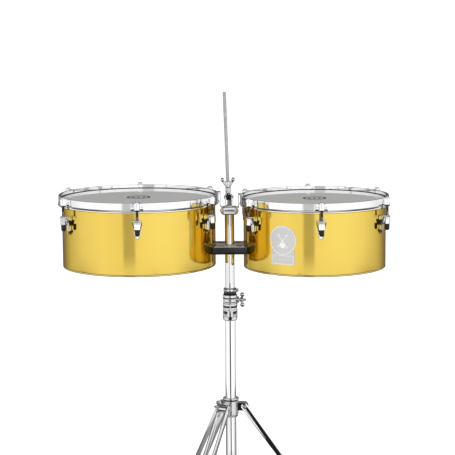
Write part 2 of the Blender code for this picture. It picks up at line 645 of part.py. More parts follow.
def leg_body():
    """Two straps about the collar's tongue, an end block and the peg that holds the foot."""
    outline = rounded_strip(LEG_PIVOT, on_leg(0.4700), 0.0080, 5)
    straps = [side_prism(outline, low, low + 0.0026) for low in (-0.0126, 0.0100)]
    pin_body = rod(0.0030, -0.0110, 0.0110, 8, "Y", (LEG_PIVOT[0], 0, LEG_PIVOT[1]))
    down_leg = Matrix.Translation((LEG_PIVOT[0], 0, LEG_PIVOT[1])) @ Matrix.Rotation(math.pi - LEG_SPREAD, 4, "Y")
    block = moved(box((-0.0070, -0.0115, 0.4580), (0.0070, 0.0115, 0.4776)), down_leg)
    peg = moved(rod(0.0060, 0.4700, 0.5075, 10), down_leg)
    return joined(straps[0], pin_body, straps[1], block, peg)


def foot_body():
    """Rubber boot over the peg, flat where it stands on the floor."""
    down_leg = Matrix.Translation((LEG_PIVOT[0], 0, LEG_PIVOT[1])) @ Matrix.Rotation(math.pi - LEG_SPREAD, 4, "Y")
    body = turned(scaled([
        (0, 478.6), (11.0, 478.6), (15.4, 486.0), (16.2, 516.0), (12.5, 532.0), (0, 541.0),
    ]), 20)
    moved(body, down_leg)
    body = cut(body, moved(rod(0.0067, 0.4700, 0.5110, 10), down_leg))
    geometry = body.verts[:] + body.edges[:] + body.faces[:]
    result = bmesh.ops.bisect_plane(body, geom=geometry, dist=1e-6, plane_co=(0, 0, 0), plane_no=(0, 0, -1), clear_outer=True)
    rim = [e for e in result["geom_cut"] if isinstance(e, bmesh.types.BMEdge)]
    bmesh.ops.holes_fill(body, edges=rim, sides=0)
    return body


def brace_body():
    """Two straps about the base's tongue, with a roller between the leg's straps."""
    outline = rounded_strip(BRACE_PIVOT, BRACE_END, 0.0058, 4)
    straps = [side_prism(outline, low, low + 0.0024) for low in (-0.0053, 0.0029)]
    pin_body = rod(0.0026, -0.0045, 0.0045, 8, "Y", (BRACE_PIVOT[0], 0, BRACE_PIVOT[1]))
    roller = rod(0.0042, -0.0094, 0.0094, 8, "Y", (BRACE_END[0], 0, BRACE_END[1]))
    return joined(straps[0], pin_body, straps[1], roller)


for i in range(LEG_COUNT):
    turn = at_post @ Matrix.Rotation(2 * math.pi * i / LEG_COUNT, 4, "Z")
    leg_at = turn @ Vector((LEG_PIVOT[0], 0, LEG_PIVOT[1]))
    brace_at = turn @ Vector((BRACE_PIVOT[0], 0, BRACE_PIVOT[1]))
    add_object(f"leg_{i + 1}", moved(leg_body(), turn), "chrome", leg_at, leg_slide)
    add_object(f"foot_{i + 1}", moved(foot_body(), turn), "black_rubber", leg_at, leg_slide)
    add_object(f"brace_{i + 1}", moved(brace_body(), turn), "chrome", brace_at, stand)
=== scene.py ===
import json
import math

import bmesh
import bpy
from mathutils import Matrix, Vector


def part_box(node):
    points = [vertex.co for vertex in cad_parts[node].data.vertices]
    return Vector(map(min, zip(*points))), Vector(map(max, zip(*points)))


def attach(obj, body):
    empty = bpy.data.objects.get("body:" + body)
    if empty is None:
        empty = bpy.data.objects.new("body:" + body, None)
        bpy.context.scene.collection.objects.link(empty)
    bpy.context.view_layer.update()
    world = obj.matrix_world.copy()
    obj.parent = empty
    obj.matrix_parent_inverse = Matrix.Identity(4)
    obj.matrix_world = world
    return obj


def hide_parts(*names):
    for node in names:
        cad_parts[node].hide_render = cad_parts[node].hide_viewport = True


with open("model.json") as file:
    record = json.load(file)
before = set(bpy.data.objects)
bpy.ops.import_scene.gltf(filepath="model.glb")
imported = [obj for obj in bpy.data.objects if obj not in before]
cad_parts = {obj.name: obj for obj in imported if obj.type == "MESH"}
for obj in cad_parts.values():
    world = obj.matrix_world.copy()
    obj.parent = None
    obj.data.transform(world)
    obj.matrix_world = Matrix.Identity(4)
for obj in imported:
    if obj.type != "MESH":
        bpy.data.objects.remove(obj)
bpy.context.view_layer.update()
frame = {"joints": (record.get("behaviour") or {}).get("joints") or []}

MM = 0.001
PI = math.pi

# ----------------------------------------------------------------------------
# Measures read from the frame
# ----------------------------------------------------------------------------
JOINTS = {j["name"]: j for j in frame["joints"]}


def middle(node):
    low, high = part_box(node)
    return Vector([(a + b) / 2 for a, b in zip(low, high)])


def size_x(node):
    low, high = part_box(node)
    return high[0] - low[0]


POST = Vector((middle("post").x, middle("post").y, 0.0))
DRUMS = {}
for side in ("left", "right"):
    low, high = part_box(side + "_shell")
    centre = Vector(((low[0] + high[0]) / 2, 0.0, low[2]))
    DRUMS[side] = {"centre": centre, "r": (high[0] - low[0]) / 2 / MM, "top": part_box(side + "_head")[1][2] - low[2]}
    angles = []
    for i in range(6):
        p = JOINTS[f"{side}_nut_{i + 1}_turn"]["pos_m"]
        angles.append(math.atan2(p[1] - centre.y, p[0] - centre.x))
    DRUMS[side]["angles"] = angles
ROD_OUT = 16.5
LEG_P = JOINTS["leg_1_hinge"]["pos_m"]
LEG_R, LEG_Z = LEG_P[0] - POST.x, LEG_P[2]
BRACE_P = JOINTS["brace_1_hinge"]["pos_m"]
BRACE_R, BRACE_Z = BRACE_P[0] - POST.x, BRACE_P[2]
SPREAD = math.radians(35.93)
BRACE_END = (0.18354, 0.22097)
HEIGHT_Z = JOINTS["height_bolt_turn"]["pos_m"][2]
LEG_BOLT_Z = JOINTS["leg_bolt_turn"]["pos_m"][2]
PIVOT = Vector(JOINTS["rod_tilt"]["pos_m"])
ROD_AXIS = Vector(JOINTS["rod_height"]["axis"]).normalized()
ROD_FOOT = Vector(JOINTS["wing_nut_turn"]["pos_m"])
ALONG_ROD = Matrix.Translation(ROD_FOOT) @ Matrix.Rotation(-math.atan2(-ROD_AXIS.x, ROD_AXIS.z), 4, "Y")
AT_POST = Matrix.Translation(POST)


# ----------------------------------------------------------------------------
# Node materials
# ----------------------------------------------------------------------------
class Nodes:
    def __init__(self, name):
        self.material = bpy.data.materials.new("look_" + name)
        self.material.use_nodes = True
        self.tree = self.material.node_tree
        self.shader = self.tree.nodes["Principled BSDF"]
        self.coords = self.tree.nodes.new("ShaderNodeTexCoord")

    def set(self, **values):
        for key, value in values.items():
            socket = self.shader.inputs[key.replace("_", " ")]
            if isinstance(value, tuple) and len(value) == 3:
                value = (*value, 1.0)
            socket.default_value = value

    def mapped(self, scale):
        node = self.tree.nodes.new("ShaderNodeMapping")
        node.inputs["Scale"].default_value = scale
        self.tree.links.new(self.coords.outputs["Object"], node.inputs["Vector"])
        return node.outputs["Vector"]

    def noise(self, scale, detail=3.0, stretch=(1, 1, 1), rough=0.5):
        node = self.tree.nodes.new("ShaderNodeTexNoise")
        node.inputs["Scale"].default_value = scale
        node.inputs["Detail"].default_value = detail
        node.inputs["Roughness"].default_value = rough
        self.tree.links.new(self.mapped(stretch), node.inputs["Vector"])
        return node.outputs["Fac"]

    def cells(self, scale):
        node = self.tree.nodes.new("ShaderNodeTexVoronoi")
        node.inputs["Scale"].default_value = scale
        self.tree.links.new(self.mapped((1, 1, 1)), node.inputs["Vector"])
        return node.outputs["Distance"]

    def ramp(self, value, stops):
        node = self.tree.nodes.new("ShaderNodeValToRGB")
        elements = node.color_ramp.elements
        while len(elements) < len(stops):
            elements.new(0.5)
        for element, (position, colour) in zip(elements, stops):
            element.position = position
            element.color = (*colour, 1.0)
        self.tree.links.new(value, node.inputs["Fac"])
        return node.outputs["Color"]

    def range(self, value, low, high, start=0.3, end=0.7):
        node = self.tree.nodes.new("ShaderNodeMapRange")
        node.inputs["From Min"].default_value = start
        node.inputs["From Max"].default_value = end
        node.inputs["To Min"].default_value = low
        node.inputs["To Max"].default_value = high
        self.tree.links.new(value, node.inputs["Value"])
        return node.outputs["Result"]

    def link(self, value, socket):
        self.tree.links.new(value, self.shader.inputs[socket])

    def bump(self, *layers):
        """Layers of (height, strength, distance), chained into the shader's normal."""
        last = None
        for value, strength, distance in layers:
            node = self.tree.nodes.new("ShaderNodeBump")
            node.inputs["Strength"].default_value = strength
            node.inputs["Distance"].default_value = distance
            self.tree.links.new(value, node.inputs["Height"])
            if last is not None:
                self.tree.links.new(last, node.inputs["Normal"])
            last = node.outputs["Normal"]
        self.tree.links.new(last, self.shader.inputs["Normal"])


def brass_material():
    n = Nodes("polished_brass")
    n.set(Metallic=1.0, Coat_Weight=0.35, Coat_Roughness=0.05, Specular_Tint=(0.62, 0.50, 0.30))
    spun = n.noise(1.0, 4.0, (3, 3, 700))
    cloud = n.noise(7.0, 2.0, (1, 1, 0.25))
    n.link(n.ramp(cloud, [(0.3, (0.690, 0.490, 0.078)), (0.7, (0.725, 0.520, 0.092))]), "Base Color")
    n.link(n.range(n.noise(14.0, 5.0, (1, 1, 3)), 0.08, 0.13), "Roughness")
    n.bump((spun, 0.05, 0.0002), (n.noise(60.0, 2.0), 0.015, 0.001))
    return n.material


def chrome_material(name="chrome_plate", tone=0.83, rough=(0.035, 0.075), peel=0.02, scale=140.0):
    n = Nodes(name)
    n.set(Metallic=1.0)
    n.link(n.ramp(n.noise(9.0, 3.0), [(0.3, (tone, tone, tone)), (0.7, (tone * 0.95, tone * 0.95, tone * 0.953))]), "Base Color")
    n.link(n.range(n.noise(34.0, 6.0), rough[0], rough[1]), "Roughness")
    n.bump((n.noise(scale, 2.0), peel, 0.0008))
    return n.material


def steel_material(name="zinc_steel", tone=0.60):
    n = Nodes(name)
    n.set(Metallic=1.0)
    n.link(n.ramp(n.noise(90.0, 4.0), [(0.35, (tone, tone, tone * 1.02)), (0.65, (tone * 0.84, tone * 0.83, tone * 0.82))]), "Base Color")
    n.link(n.range(n.noise(220.0, 4.0), 0.22, 0.40), "Roughness")
    n.bump((n.noise(600.0, 3.0, (1, 1, 4)), 0.08, 0.0003))
    return n.material


def film_material():
    n = Nodes("drumhead_film")
    n.set(Coat_Weight=1.0, Coat_Roughness=0.04, Coat_IOR=1.55)
    fibres = n.noise(55.0, 6.0, (1, 3.0, 1), 0.7)
    cloud = n.noise(6.0, 3.0)
    n.link(n.ramp(fibres, [(0.25, (0.43, 0.422, 0.400)), (0.5, (0.485, 0.476, 0.452)), (0.75, (0.545, 0.536, 0.512))]), "Base Color")
    n.link(n.range(cloud, 0.40, 0.52), "Roughness")
    n.bump((n.noise(420.0, 4.0), 0.05, 0.0002), (n.noise(24.0, 2.0), 0.01, 0.001))
    return n.material


def coat_material(name="black_powder_coat", tone=0.006, rough=(0.30, 0.40), grain=900.0, strength=0.12, sheen=0.0):
    n = Nodes(name)
    n.set(Specular_IOR_Level=0.35)
    if sheen > 0:
        n.set(Sheen_Weight=sheen, Sheen_Roughness=0.35, Sheen_Tint=(1.0, 0.93, 0.90))
    n.link(n.ramp(n.noise(40.0, 4.0), [(0.3, (tone, tone, tone * 1.1)), (0.7, (tone * 1.7, tone * 1.65, tone * 1.8))]), "Base Color")
    n.link(n.range(n.noise(120.0, 3.0), rough[0], rough[1]), "Roughness")
    n.bump((n.cells(grain), strength, 0.00018), (n.noise(grain * 0.6, 3.0), strength * 0.5, 0.0002))
    return n.material


def rubber_material():
    n = Nodes("black_rubber")
    n.set(Specular_IOR_Level=0.35, Sheen_Weight=0.15, Sheen_Roughness=0.5)
    n.link(n.ramp(n.noise(60.0, 5.0), [(0.3, (0.016, 0.016, 0.016)), (0.62, (0.028, 0.027, 0.026)), (0.8, (0.05, 0.048, 0.045))]), "Base Color")
    n.link(n.range(n.noise(150.0, 4.0), 0.62, 0.85), "Roughness")
    n.bump((n.noise(800.0, 3.0), 0.3, 0.0003))
    return n.material


def foil_material(name, tone, rough):
    n = Nodes(name)
    n.set(Metallic=0.35)
    n.link(n.ramp(n.noise(30.0, 3.0, (1, 1, 14)), [(0.3, (tone, tone, tone)), (0.7, (tone * 0.93, tone * 0.93, tone * 0.94))]), "Base Color")
    n.link(n.range(n.noise(260.0, 4.0), rough, rough + 0.12), "Roughness")
    n.bump((n.noise(1400.0, 2.0), 0.05, 0.0002))
    return n.material


BRASS = brass_material()
CHROME = chrome_material()
TUBE_CHROME = chrome_material("tube_chrome", 0.84, (0.03, 0.055), 0.006, 60.0)
# Darker copy of the tube chrome for the post: its lower tone is painted shade, standing in for the darker reflections
# on the post.
POST_CHROME_SHADED = chrome_material("post_chrome_painted_shade", 0.70, (0.03, 0.055), 0.006, 60.0)
CAST_CHROME = chrome_material("cast_chrome", 0.62, (0.07, 0.14), 0.10, 260.0)
PRESSED = chrome_material("pressed_chrome", 0.60, (0.05, 0.10), 0.04, 160.0)
ROD_STEEL = steel_material("rod_steel", 0.44)
THREAD = steel_material("rolled_thread", 0.42)
ZINC = steel_material("zinc_steel", 0.62)
FILM = film_material()
ALLOY = steel_material("flesh_hoop_alloy", 0.70)
COAT = coat_material(rough=(0.22, 0.30), sheen=1.0)
PLASTIC = coat_material("black_plastic", 0.005, (0.30, 0.42), 500.0, 0.06)
RUBBER = rubber_material()
FOIL = foil_material("badge_foil", 0.58, 0.34)
FOIL_LIGHT = foil_material("badge_print", 0.90, 0.45)
INK = coat_material("printed_ink", 0.012, (0.45, 0.6), 700.0, 0.05)


# ----------------------------------------------------------------------------
# Mesh helpers
# ----------------------------------------------------------------------------
def fillet(points, n=4):
    """A closed outline with its corners rounded: each point is (a, b) or (a, b, radius)."""
    out = []
    count = len(points)
    for i, point in enumerate(points):
        p = Vector(point[:2])
        radius = point[2] if len(point) > 2 else 0.0
        before = Vector(points[i - 1][:2]) - p
        after = Vector(points[(i + 1) % count][:2]) - p
        if radius <= 0 or before.length < 1e-9 or after.length < 1e-9:
            out.append(tuple(p))
            continue
        before_n, after_n = before.normalized(), after.normalized()
        cosine = max(-1.0, min(1.0, before_n.dot(after_n)))
        half = math.acos(cosine) / 2
        if half > PI / 2 - 0.02:
            out.append(tuple(p))
            continue
        reach = min(radius / math.tan(half), before.length * 0.49, after.length * 0.49)
        start, end = p + before_n * reach, p + after_n * reach
        for k in range(n + 1):
            t = k / n
            q = start * (1 - t) ** 2 + p * (2 * t * (1 - t)) + end * t ** 2
            out.append(tuple(q))
    return out


def grid(rings, cap=False, closed=False):
    """Quads between rings of equal length; rings are closed loops."""
    bm = bmesh.new()
    rows = [[bm.verts.new(v) for v in ring] for ring in rings]
    pairs = [(k, k + 1) for k in range(len(rows) - 1)] + ([(len(rows) - 1, 0)] if closed else [])
    for a, b in pairs:
        n = len(rows[a])
        for i in range(n):
            j = (i + 1) % n
            bm.faces.new((rows[a][i], rows[b][i], rows[b][j], rows[a][j]))
    if cap:
        bm.faces.new(rows[0])
        bm.faces.new(list(reversed(rows[-1])))
    bmesh.ops.recalc_face_normals(bm, faces=bm.faces)
    return bm


def turned(profile, seg=64, shape=None):
    """Turned about Z. Points with radius 0 close the form; shape(angle, z, r) may change the radius."""
    bm = bmesh.new()
    rows = []
    for point in profile:
        r, z = point[0] * MM, point[1] * MM
        if r < 1e-7:
            rows.append([bm.verts.new((0, 0, z))])
            continue
        row = []
        for i in range(seg):
            a = 2 * PI * i / seg
            rr = shape(a, point[1], point[0]) * MM if shape else r
            row.append(bm.verts.new((rr * math.cos(a), rr * math.sin(a), z)))
        rows.append(row)
    for k in range(len(rows)):
        a, b = rows[k], rows[(k + 1) % len(rows)]
        if len(a) == 1 and len(b) == 1:
            continue
        for i in range(seg):
            j = (i + 1) % seg
            if len(a) == 1:
                bm.faces.new((a[0], b[i], b[j]))
            elif len(b) == 1:
                bm.faces.new((a[i], b[0], a[j]))
            else:
                bm.faces.new((a[i], b[i], b[j], a[j]))
    bmesh.ops.recalc_face_normals(bm, faces=bm.faces)
    return bm


def prism(outline, low, high):
    """An (x, y) outline in millimetres, raised along Z."""
    return grid([[(x * MM, y * MM, z * MM) for x, y in outline] for z in (low, high)], cap=True)


def side_prism(outline, low, high):
    """An (x, z) outline in millimetres, raised along Y."""
    return grid([[(x * MM, y * MM, z * MM) for x, z in outline] for y in (low, high)], cap=True)


def front_prism(outline, low, high):
    """A (y, z) outline in millimetres, raised along X."""
    return grid([[(x * MM, y * MM, z * MM) for y, z in outline] for x in (low, high)], cap=True)


def moved(bm, matrix):
    bmesh.ops.transform(bm, matrix=matrix, verts=bm.verts)
    return bm


def lay(bm, axis):
    if axis == "X":
        return moved(bm, Matrix.Rotation(PI / 2, 4, "Y"))
    if axis == "Y":
        return moved(bm, Matrix.Rotation(-PI / 2, 4, "X"))
    return bm


def mesh_of(bm, name, bevel=0.0, smooth=32.0):
    """A finished mesh: bevelled edges, smooth shading with its real edges kept sharp."""
    if bevel > 0:
        bm.normal_update()
        edges = [e for e in bm.edges if len(e.link_faces) == 2 and e.calc_face_angle(0.0) > math.radians(30)]
        bmesh.ops.bevel(bm, geom=edges, offset=bevel * MM, segments=2, profile=0.5, affect="EDGES", clamp_overlap=True)
        bmesh.ops.remove_doubles(bm, verts=bm.verts, dist=1e-6)
        bmesh.ops.dissolve_degenerate(bm, edges=bm.edges, dist=1e-7)
    mesh = bpy.data.meshes.new(name)
    bm.to_mesh(mesh)
    bm.free()
    mesh.shade_smooth()
    mesh.set_sharp_from_angle(angle=math.radians(smooth))
    return mesh


def merged(*bodies):
    """Several closed bodies kept in one mesh."""
    result = bodies[0]
    for body in bodies[1:]:
        mesh = bpy.data.meshes.new("part")
        body.to_mesh(mesh)
        body.free()
        result.from_mesh(mesh)
        bpy.data.meshes.remove(mesh)
    return result


def boolean(first, second, operation="DIFFERENCE"):
    pair = []
    for bm in (first, second):
        mesh = bpy.data.meshes.new("operand")
        bm.to_mesh(mesh)
        bm.free()
        obj = bpy.data.objects.new("operand", mesh)
        bpy.context.scene.collection.objects.link(obj)
        pair.append(obj)
    modifier = pair[0].modifiers.new("combine", "BOOLEAN")
    modifier.operation, modifier.solver, modifier.object = operation, "EXACT", pair[1]
    graph = bpy.context.evaluated_depsgraph_get()
    mesh = bpy.data.meshes.new_from_object(pair[0].evaluated_get(graph))
    result = bmesh.new()
    result.from_mesh(mesh)
    bmesh.ops.remove_doubles(result, verts=result.verts, dist=3e-6)
    bmesh.ops.dissolve_degenerate(result, edges=result.edges, dist=1e-6)
    bmesh.ops.dissolve_limit(result, angle_limit=math.radians(0.3), verts=result.verts, edges=result.edges)
    bpy.data.meshes.remove(mesh)
    for obj in pair:
        mesh = obj.data
        bpy.data.objects.remove(obj, do_unlink=True)
        bpy.data.meshes.remove(mesh)
    return result


def place(name, mesh, material, body, matrix=None, stands_for=()):
    obj = bpy.data.objects.new(name, mesh)
    bpy.context.scene.collection.objects.link(obj)
    if not mesh.materials:
        mesh.materials.append(material)
    if matrix is not None:
        obj.matrix_world = matrix
    bpy.context.view_layer.update()
    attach(obj, body)
    if stands_for:
        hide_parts(*stands_for)
    return obj


def piece(name, bm, material, body, matrix=None, stands_for=(), bevel=0.0, smooth=32.0):
    return place(name, mesh_of(bm, name, bevel, smooth), material, body, matrix, stands_for)


def threaded(minor, major, low, high, pitch, seg=24):
    """A helical thread between two heights, with plain ends."""
    steps = max(2, int((high - low) / pitch * 6))
    rings = []
    for k in range(steps + 1):
        z = low + (high - low) * k / steps
        ring = []
        for i in range(seg):
            a = 2 * PI * i / seg
            phase = (z / pitch - i / seg) % 1.0
            r = minor + (major - minor) * (1 - abs(2 * phase - 1))
            if k in (0, steps):
                r = minor
            ring.append((r * MM * math.cos(a), r * MM * math.sin(a), z * MM))
        rings.append(ring)
    return grid(rings, cap=True)


def hexagonal(flats, low, high, hole=0.0, seg=72, chamfer=True, turn=0.0):
    """A hexagon nut or bolt head with its corners chamfered by a cone."""
    def shape(a, z, r):
        if r <= hole + 0.01:
            return r
        sector = (a + turn) % (PI / 3) - PI / 6
        flat = flats / 2 / math.cos(sector)
        limit = flats / 2 * 0.97 + min(z - low, high - z) * 1.75 if chamfer else 99
        return min(flat, limit, r)
    big = flats
    levels = [low, low + 0.35, low + 0.7, low + 1.1, (low + high) / 2, high - 1.1, high - 0.7, high - 0.35, high]
    profile = [(big, z) for z in levels]
    if hole > 0:
        profile += [(hole, high), (hole, low)]
    else:
        profile = [(0, low)] + profile + [(0, high)]
    return turned(profile, seg, shape)


def strip(start, end, half, n=10):
    """A flat bar's outline with round ends, as (x, z) in millimetres."""
    heading = math.atan2(end[1] - start[1], end[0] - start[0])
    out = []
    for c, base in ((end, heading - PI / 2), (start, heading + PI / 2)):
        for k in range(n + 1):
            a = base + PI * k / n
            out.append((c[0] + half * math.cos(a), c[1] + half * math.sin(a)))
    return out


def pan_head(radius, height, recess=True, seg=32):
    """A domed screw head standing on z = 0, with a cross recess's outline as a dimple."""
    profile = [(0, 0), (radius, 0), (radius, height * 0.35)]
    for k in range(1, 6):
        a = k / 6 * PI / 2
        profile.append((radius * math.cos(a) * 0.98 + 0.02, height * (0.35 + 0.65 * math.sin(a))))
    if recess:
        profile += [(radius * 0.34, height), (radius * 0.28, height * 0.55), (0, height * 0.5)]
    else:
        profile += [(0, height)]
    return turned(profile, seg)


# ----------------------------------------------------------------------------
# Drums
# ----------------------------------------------------------------------------
def shell_mesh(r, h):
    outline = fillet([
        (r - 0.1, 0.0, 0.9), (r + 0.15, 1.6, 1.2), (r - 0.1, 3.3, 0.6), (r - 0.55, 3.9, 0.3), (r, 4.7, 0.5), (r, h - 5.0, 3.0), (r - 2.1, h - 0.75, 0.9), (r - 3.6, h - 1.6, 0.8), (r - 1.25, h - 6.8, 2.5),
        (r - 1.25, 6.0, 2.0), (r - 3.1, 4.2, 1.2), (r - 3.1, 0.0, 0.8),
    ], 5)
    return turned(outline, 224)


def wrapped_box(r, half_angle, low, high, inner, outer, steps=10):
    """A block bent round a cylinder of radius r, centred on +X."""
    rings = []
    for k in range(steps + 1):
        a = -half_angle + 2 * half_angle * k / steps
        rings.append([((r + d) * MM * math.cos(a), (r + d) * MM * math.sin(a), z * MM) for d, z in ((inner, low), (outer, low), (outer, high), (inner, high))])
    return grid(rings, cap=True)


def hoop_mesh(r):
    outline = fillet([
        (r + 5.0, 166.5, 1.1), (r + 7.4, 166.5, 1.1), (r + 7.4, 150.6, 0.5), (r + 6.9, 149.5, 0.6), (r + 8.3, 147.9, 0.8), (r + 9.0, 146.6, 0.8),
        (r + 9.0, 143.3, 1.5), (r + 5.1, 143.3, 0.5), (r + 5.1, 152.9, 0.4), (r + 3.5, 152.9, 0.5), (r + 3.5, 154.9, 0.6), (r + 5.0, 154.9, 0.8),
    ], 4)
    return turned(outline, 224)


def ear_mesh(r):
    """Welded hoop ear: a curved plate with a half-round sleeve for the tension rod and two rivets."""
    plate = wrapped_box(r, 14.1 / (r + 9), 149.8, 166.0, 7.2, 9.3, 12)
    boss = fillet([(r + 8.4, -7.2, 0.8), (r + 16.4, -7.0, 0.01)] +
                  [(r + 16.5 + 7.0 * math.cos(a), 7.0 * math.sin(a)) for a in [(-PI / 2 + PI * k / 16) for k in range(1, 16)]] +
                  [(r + 16.4, 7.0, 0.01), (r + 8.4, 7.2, 0.8)])
    sleeve = prism(boss, 149.2, 166.6)
    rivets = []
    for y in (-10.7, 10.7):
        rivet = lay(pan_head(2.2, 0.8, False, 20), "X")
        rivets.append(moved(rivet, Matrix.Translation(((r + 9.0) * MM, y * MM, 158 * MM))))
    plate_mesh = mesh_of(plate, "plate", 0.5)
    sleeve_mesh = mesh_of(sleeve, "sleeve", 0.6)
    bm = bmesh.new()
    bm.from_mesh(plate_mesh)
    bm.from_mesh(sleeve_mesh)
    return mesh_of(merged(bm, *rivets), "hoop_ear")


def rod_mesh():
    """Tension rod: domed head and plain neck, on its own axis; the rolled thread is the separate rod_thread mesh."""
    dome = turned([(0, 166.4), (4.4, 166.4), (5.2, 167.0), (5.25, 168.4), (5.0, 169.3), (4.2, 170.1), (2.9, 170.6), (1.6, 170.75), (1.4, 169.6), (0, 169.4)], 36)
    neck = turned([(0, 137.5), (2.9, 137.5), (3.4, 138.4), (3.4, 166.5), (0, 166.5)], 32)
    return mesh_of(merged(dome, neck), "tension_rod")


def thread_mesh():
    return mesh_of(threaded(2.95, 3.45, 100.0, 138.0, 1.25, 24), "rod_thread", 0.0, 60.0)


def cap_mesh():
    """Moulded thread cap with fine grip ribs and a rolled lip."""
    def shape(a, z, r):
        return r - (0.22 if 98 < z < 106 and math.cos(a * 20) < -0.2 else 0.0) if r > 4.8 else r
    profile = [(0, 93.7), (1.8, 93.8), (3.4, 94.4), (4.6, 95.6), (5.3, 97.2), (5.55, 98.1), (5.6, 98.4), (5.62, 102), (5.62, 105.7), (5.6, 106.1),
               (5.85, 106.4), (5.9, 107.6), (5.6, 108.4), (3.9, 108.4), (3.9, 107.8), (0, 107.8)]
    return mesh_of(turned(profile, 80, shape), "thread_cap")


def nut_mesh():
    body = hexagonal(13.4, 108.85, 121.4, 4.0, 72)
    flange = turned([(4.0, 121.3), (7.0, 121.3), (7.8, 122.0), (7.9, 123.6), (7.4, 125.0), (6.9, 125.45), (4.0, 125.45)], 48)
    return mesh_of(merged(body, flange), "tension_nut")


def lug_mesh():
    """Pressed lug: a channel that narrows to a tip, under a flange with the rod's hole."""
    levels = [(127.0, 21.6, 10.5), (120.5, 21.4, 9.4), (116.0, 19.6, 7.8), (111.0, 16.6, 6.6), (107.0, 14.4, 5.6), (103.0, 13.8, 5.2),
              (95.0, 13.4, 4.8), (91.5, 11.8, 4.4), (88.0, 8.4, 4.0), (85.4, 5.4, 3.4), (84.3, 3.4, 2.6)]
    t = 1.7
    rings = []
    for z, w, d in levels:
        h = w / 2
        tw = min(t, h * 0.62)
        td = min(t, d * 0.6)
        ring = [(0.5, -h + 0.5), (0.5, h - 0.5), (1.1, h), (d, h), (d + 0.3, h - tw * 0.5), (d, h - tw), (td + 0.9, h - tw), (td + 0.4, h - tw - 0.5),
                (td + 0.4, -h + tw + 0.5), (td + 0.9, -h + tw), (d, -h + tw), (d + 0.3, -h + tw * 0.5), (d, -h), (1.1, -h)]
        rings.append([(x * MM, y * MM, z * MM) for x, y in ring])
    channel = grid(rings, cap=True)
    flange = prism(fillet([(0.5, -10.9, 0.5), (16.6, -10.9, 4), (21.4, -7.6, 3.5), (21.4, 7.6, 3.5), (16.6, 10.9, 4), (0.5, 10.9, 0.5)], 5), 125.85, 127.8)
    hole = moved(turned([(0, 120), (4.3, 120), (4.3, 132), (0, 132)], 32), Matrix.Translation((16.5 * MM, 0, 0)))
    flange = boolean(flange, hole)
    flange_mesh = mesh_of(flange, "flange", 0.35)
    bm = bmesh.new()
    bm.from_mesh(flange_mesh)
    return mesh_of(merged(bm, channel), "lug_bracket", 0.0, 40.0)


def lug_bolt_mesh():
    washer = turned([(0, 0), (5.2, 0), (5.4, 0.3), (5.2, 0.9), (0, 0.9)], 32)
    head = moved(pan_head(4.3, 2.6, True, 32), Matrix.Translation((0, 0, 0.8 * MM)))
    return mesh_of(lay(merged(washer, head), "X"), "lug_bolt")


def inner_screw_mesh():
    """A washer and hexagon nut on the inside of the shell, facing the drum's axis."""
    washer = turned([(0, 0), (6.6, 0), (6.8, 0.3), (6.6, 1.2), (0, 1.2)], 32)
    nut = hexagonal(8.0, 1.2, 4.6, 0.0, 48)
    stud = turned([(0, 4.4), (2.3, 4.4), (2.4, 6.0), (2.0, 6.4), (0, 6.4)], 24)
    return mesh_of(lay(merged(washer, nut, stud), "X"), "inner_screw")


ROD_MESH, THREAD_MESH, CAP_MESH, NUT_MESH, LUG_MESH, LUG_BOLT_MESH, INNER_MESH = (
    rod_mesh(), thread_mesh(), cap_mesh(), nut_mesh(), lug_mesh(), lug_bolt_mesh(), inner_screw_mesh())

